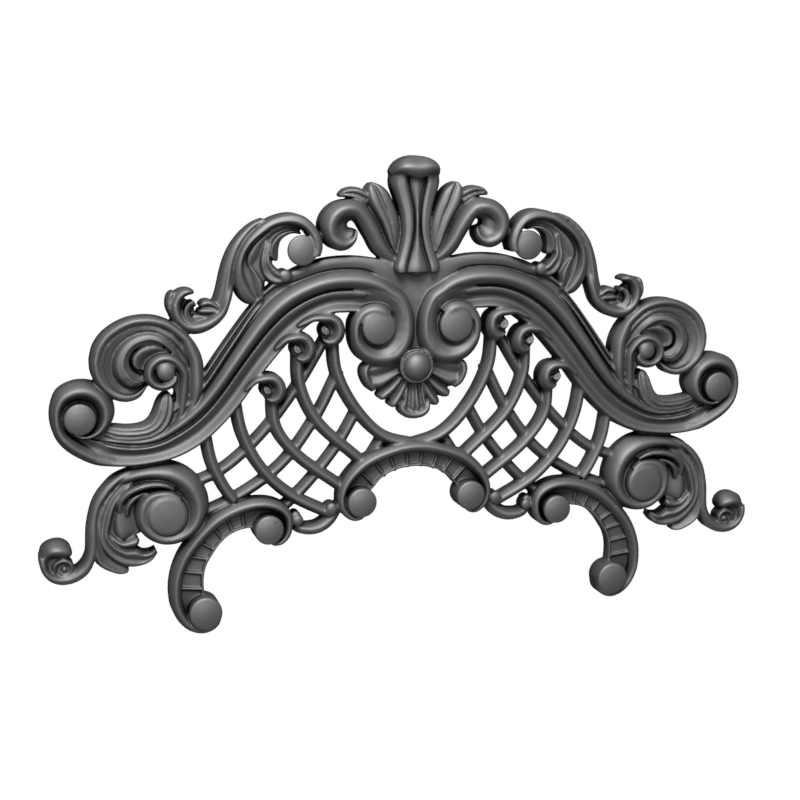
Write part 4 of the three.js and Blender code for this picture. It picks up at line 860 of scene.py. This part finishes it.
def mirrored(members):
    """The right side is the left side turned over."""
    return [(vertices * [-1, 1, 1], [face[::-1] for face in faces]) for vertices, faces in members]


def fuse(name, members):
    """One mesh object holding every member."""
    vertices, faces, start = [], [], 0
    for points, polygons in members:
        vertices.append(points)
        faces.extend(tuple(start + k for k in polygon) for polygon in polygons)
        start += len(points)
    mesh = bpy.data.meshes.new(name)
    mesh.from_pydata((np.vstack(vertices) * MM).tolist(), [], faces)
    mesh.update()
    piece = bpy.data.objects.new(name, mesh)
    bpy.context.scene.collection.objects.link(piece)
    return piece


def settle(piece):
    """Replaces the mesh by what its modifiers make of it."""
    graph = bpy.context.evaluated_depsgraph_get()
    made = bpy.data.meshes.new_from_object(piece.evaluated_get(graph))
    piece.modifiers.clear()
    piece.data = made


def skin(piece):
    """Fuses the members into one skin and softens its edges and creases."""
    remesh = piece.modifiers.new("skin", "REMESH")
    remesh.mode = "VOXEL"
    remesh.voxel_size = VOXEL * MM
    remesh.adaptivity = 0
    soften = piece.modifiers.new("soften", "SMOOTH")
    soften.factor = 0.5
    soften.iterations = SOFTEN_TIMES
    settle(piece)


def cut_flat(piece):
    """Cuts away what lies behind the flat back."""
    block = bpy.data.meshes.new("front")
    x, y, z = 0.4, 0.1, 0.3
    corners = [(sx * x, sy, sz * z) for sx in (-1, 1) for sy in (-y, 0) for sz in (-1, 1)]
    sides = [(0, 1, 3, 2), (4, 6, 7, 5), (0, 4, 5, 1), (2, 3, 7, 6), (0, 2, 6, 4), (1, 5, 7, 3)]
    block.from_pydata(corners, [], sides)
    keeper = bpy.data.objects.new("front", block)
    bpy.context.scene.collection.objects.link(keeper)
    cut = piece.modifiers.new("back", "BOOLEAN")
    cut.operation = "INTERSECT"
    cut.solver = "MANIFOLD"
    cut.object = keeper
    settle(piece)
    bpy.data.objects.remove(keeper)


def thin_out(piece):
    """Spends the triangles where the carving bends."""
    triangles = sum(len(polygon.vertices) - 2 for polygon in piece.data.polygons)
    fewer = piece.modifiers.new("fewer", "DECIMATE")
    fewer.ratio = min(1, MOST_TRIANGLES / triangles)
    settle(piece)


def drop_crumbs(piece):
    """Deletes the stray folded faces that thinning leaves of small pockets inside the skin."""
    mesh = bmesh.new()
    mesh.from_mesh(piece.data)
    crumbs = [vertex for vertex in mesh.verts if len(vertex.link_edges) < 3]
    bmesh.ops.delete(mesh, geom=crumbs, context="VERTS")
    mesh.to_mesh(piece.data)
    mesh.free()


def carve():
    side = [
        *main_scroll(),
        *inner_volute(),
        *lower_volute(),
        *side_scroll(),
        *side_leaf(),
        *upper_acanthus(),
        *lower_acanthus(),
        *foot(),
        *lattice(),
        *bud(-74, 20, 0, 1, 1),
        *bud(-97.5, 6, 12, 0.97, 0.8),
        *bud(-122, -25.5, 12, 0.97, 0.78),
        *link(),
        *crest_side(),
    ]
    middle = [*arch(), *crest_stem(), *shell()]
    piece = fuse("carving", [*side, *mirrored(side), *middle])
    skin(piece)
    cut_flat(piece)
    thin_out(piece)
    drop_crumbs(piece)
    for polygon in piece.data.polygons:
        polygon.use_smooth = polygon.normal.y < BACK_SLOPE
    return piece


def satin_resin():
    """Charcoal satin resin, with a faint unevenness in its colour and gloss, and painted shade that
    darkens its colour and dims its reflection in the hollows and creases.
    """
    material = bpy.data.materials.new("satin_resin")
    material.use_nodes = True
    nodes, links = material.node_tree.nodes, material.node_tree.links
    shader = nodes["Principled BSDF"]
    shader.inputs["IOR"].default_value = 1.8
    shader.inputs["Specular IOR Level"].default_value = 0.8
    place = nodes.new("ShaderNodeTexCoord")
    cloud = nodes.new("ShaderNodeTexNoise")
    cloud.inputs["Scale"].default_value = 22
    cloud.inputs["Detail"].default_value = 4
    grain = nodes.new("ShaderNodeTexNoise")
    grain.inputs["Scale"].default_value = 900
    grain.inputs["Detail"].default_value = 2
    tone = nodes.new("ShaderNodeValToRGB")
    tone.color_ramp.elements[0].position = 0.3
    tone.color_ramp.elements[0].color = (0.032, 0.032, 0.033, 1)
    tone.color_ramp.elements[1].position = 0.7
    tone.color_ramp.elements[1].color = (0.040, 0.040, 0.041, 1)
    gloss = nodes.new("ShaderNodeMapRange")
    gloss.inputs["To Min"].default_value = 0.58
    gloss.inputs["To Max"].default_value = 0.64
    bump = nodes.new("ShaderNodeBump")
    bump.inputs["Strength"].default_value = 0.04
    bump.inputs["Distance"].default_value = 0.0002
    links.new(place.outputs["Object"], cloud.inputs["Vector"])
    links.new(place.outputs["Object"], grain.inputs["Vector"])
    links.new(cloud.outputs["Fac"], tone.inputs["Fac"])
    # Painted shade: the piece's own ambient occlusion darkens the base colour and lowers the specular
    # level in creases and hollows, where shade falls.
    hollows = nodes.new("ShaderNodeAmbientOcclusion")
    hollows.only_local = True
    hollows.samples = 8
    hollows.inputs["Distance"].default_value = 0.018
    crease_shade = nodes.new("ShaderNodeMapRange")
    crease_shade.inputs["From Min"].default_value = 0.3
    crease_shade.inputs["From Max"].default_value = 0.95
    crease_shade.inputs["To Min"].default_value = 0.02
    crease_shade.inputs["To Max"].default_value = 1
    # The resin's tone times the painted crease shade.
    shaded_colour = nodes.new("ShaderNodeVectorMath")
    shaded_colour.operation = "SCALE"
    # Specular level times the painted crease shade, a painted dimming of reflections in the creases.
    shaded_specular = nodes.new("ShaderNodeMath")
    shaded_specular.operation = "MULTIPLY"
    shaded_specular.inputs[1].default_value = 0.8
    links.new(hollows.outputs["AO"], crease_shade.inputs["Value"])
    links.new(tone.outputs["Color"], shaded_colour.inputs[0])
    links.new(crease_shade.outputs["Result"], shaded_colour.inputs["Scale"])
    links.new(shaded_colour.outputs["Vector"], shader.inputs["Base Color"])
    links.new(crease_shade.outputs["Result"], shaded_specular.inputs[0])
    links.new(shaded_specular.outputs["Value"], shader.inputs["Specular IOR Level"])
    links.new(cloud.outputs["Fac"], gloss.inputs["Value"])
    links.new(gloss.outputs["Result"], shader.inputs["Roughness"])
    links.new(grain.outputs["Fac"], bump.inputs["Height"])
    links.new(bump.outputs["Normal"], shader.inputs["Normal"])
    return material


def pale_floor():
    """The lamps are shaded from the floor, so it carries a little light of its own."""
    material = bpy.data.materials.new("pale_floor")
    material.use_nodes = True
    shader = material.node_tree.nodes["Principled BSDF"]
    shader.inputs["Base Color"].default_value = (0.8, 0.8, 0.8, 1)
    shader.inputs["Roughness"].default_value = 0.9
    shader.inputs["Emission Color"].default_value = (1, 1, 1, 1)
    shader.inputs["Emission Strength"].default_value = 0.1
    return material


# Name, place in metres, half width of the source, power and cone of each lamp. All face the piece.
LAMPS = [
    ("key", (-0.4, -1.38, 1.66), 0.4, 340, 32),
    ("head", (-0.6, -2.0, 0.45), 0.3, 84, 32),
    ("back", (0, 2.0, 0.4), 0.5, 100, 40),
]


def studio():
    """A pale floor well below the hung piece, a white surround, and soft lights from the front."""
    mesh = bpy.data.meshes.new("floor")
    reach, level, front, rear = 0.9, -1.0, -0.8, 0.5
    mesh.from_pydata([(-reach, front, level), (reach, front, level), (reach, rear, level),
                      (-reach, rear, level)], [], [(0, 1, 2, 3)])
    floor = bpy.data.objects.new("floor", mesh)
    bpy.context.scene.collection.objects.link(floor)
    mesh.materials.append(pale_floor())
    bpy.context.scene.world = surround()
    bpy.context.scene.view_settings.view_transform = "Standard"
    for values in LAMPS:
        lamp(*values)


def surround():
    """White where the camera looks past the piece, and a dim grey room for its reflections."""
    world = bpy.data.worlds.new("surround")
    world.use_nodes = True
    nodes, links = world.node_tree.nodes, world.node_tree.links
    seen = nodes["Background"]
    seen.inputs["Color"].default_value = (1, 1, 1, 1)
    seen.inputs["Strength"].default_value = 1.0
    room = nodes.new("ShaderNodeBackground")
    room.inputs["Color"].default_value = (1, 1, 1, 1)
    room.inputs["Strength"].default_value = 0.03
    path = nodes.new("ShaderNodeLightPath")
    mix = nodes.new("ShaderNodeMixShader")
    links.new(path.outputs["Is Camera Ray"], mix.inputs[0])
    links.new(room.outputs["Background"], mix.inputs[1])
    links.new(seen.outputs["Background"], mix.inputs[2])
    links.new(mix.outputs["Shader"], nodes["World Output"].inputs["Surface"])
    return world


def lamp(name, place, radius, power, cone):
    light = bpy.data.lights.new(name, "SPOT")
    light.shadow_soft_size = radius
    light.energy = power
    light.spot_size = math.radians(cone)
    light.spot_blend = 0.3
    holder = bpy.data.objects.new(name, light)
    holder.location = place
    holder.rotation_euler = (-Vector(place)).to_track_quat("-Z", "Y").to_euler()
    holder.visible_glossy = name != "back"
    bpy.context.scene.collection.objects.link(holder)


# The photograph's viewpoint, in metres and degrees: a little to the left of the piece and above it.
VIEW_AIM = (-0.0091, 0, -0.0427)
VIEW_DISTANCE = 1.299
VIEW_TURN = 16.48
VIEW_DIP = 10.69
VIEW_ROLL = 0.18
LENS = 71.55
SENSOR = 36


def look():
    """The camera, at the photograph's viewpoint."""
    turn, dip = math.radians(VIEW_TURN), math.radians(VIEW_DIP)
    forward = Vector((math.sin(turn) * math.cos(dip), math.cos(turn) * math.cos(dip), -math.sin(dip)))
    camera = bpy.data.cameras.new("camera")
    camera.sensor_width = SENSOR
    camera.lens = LENS
    camera.clip_start = 0.05
    holder = bpy.data.objects.new("camera", camera)
    holder.matrix_world = forward.to_track_quat("-Z", "Y").to_matrix().to_4x4()
    holder.rotation_euler.rotate_axis("Z", math.radians(VIEW_ROLL))
    holder.location = Vector(VIEW_AIM) - forward * VIEW_DISTANCE
    bpy.context.scene.collection.objects.link(holder)
    bpy.context.scene.camera = holder


def main():
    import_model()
    piece = carve()
    piece.data.materials.clear()
    piece.data.materials.append(satin_resin())
    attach(piece, "root")
    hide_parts("frame_onlay")
    studio()
    look()


main()
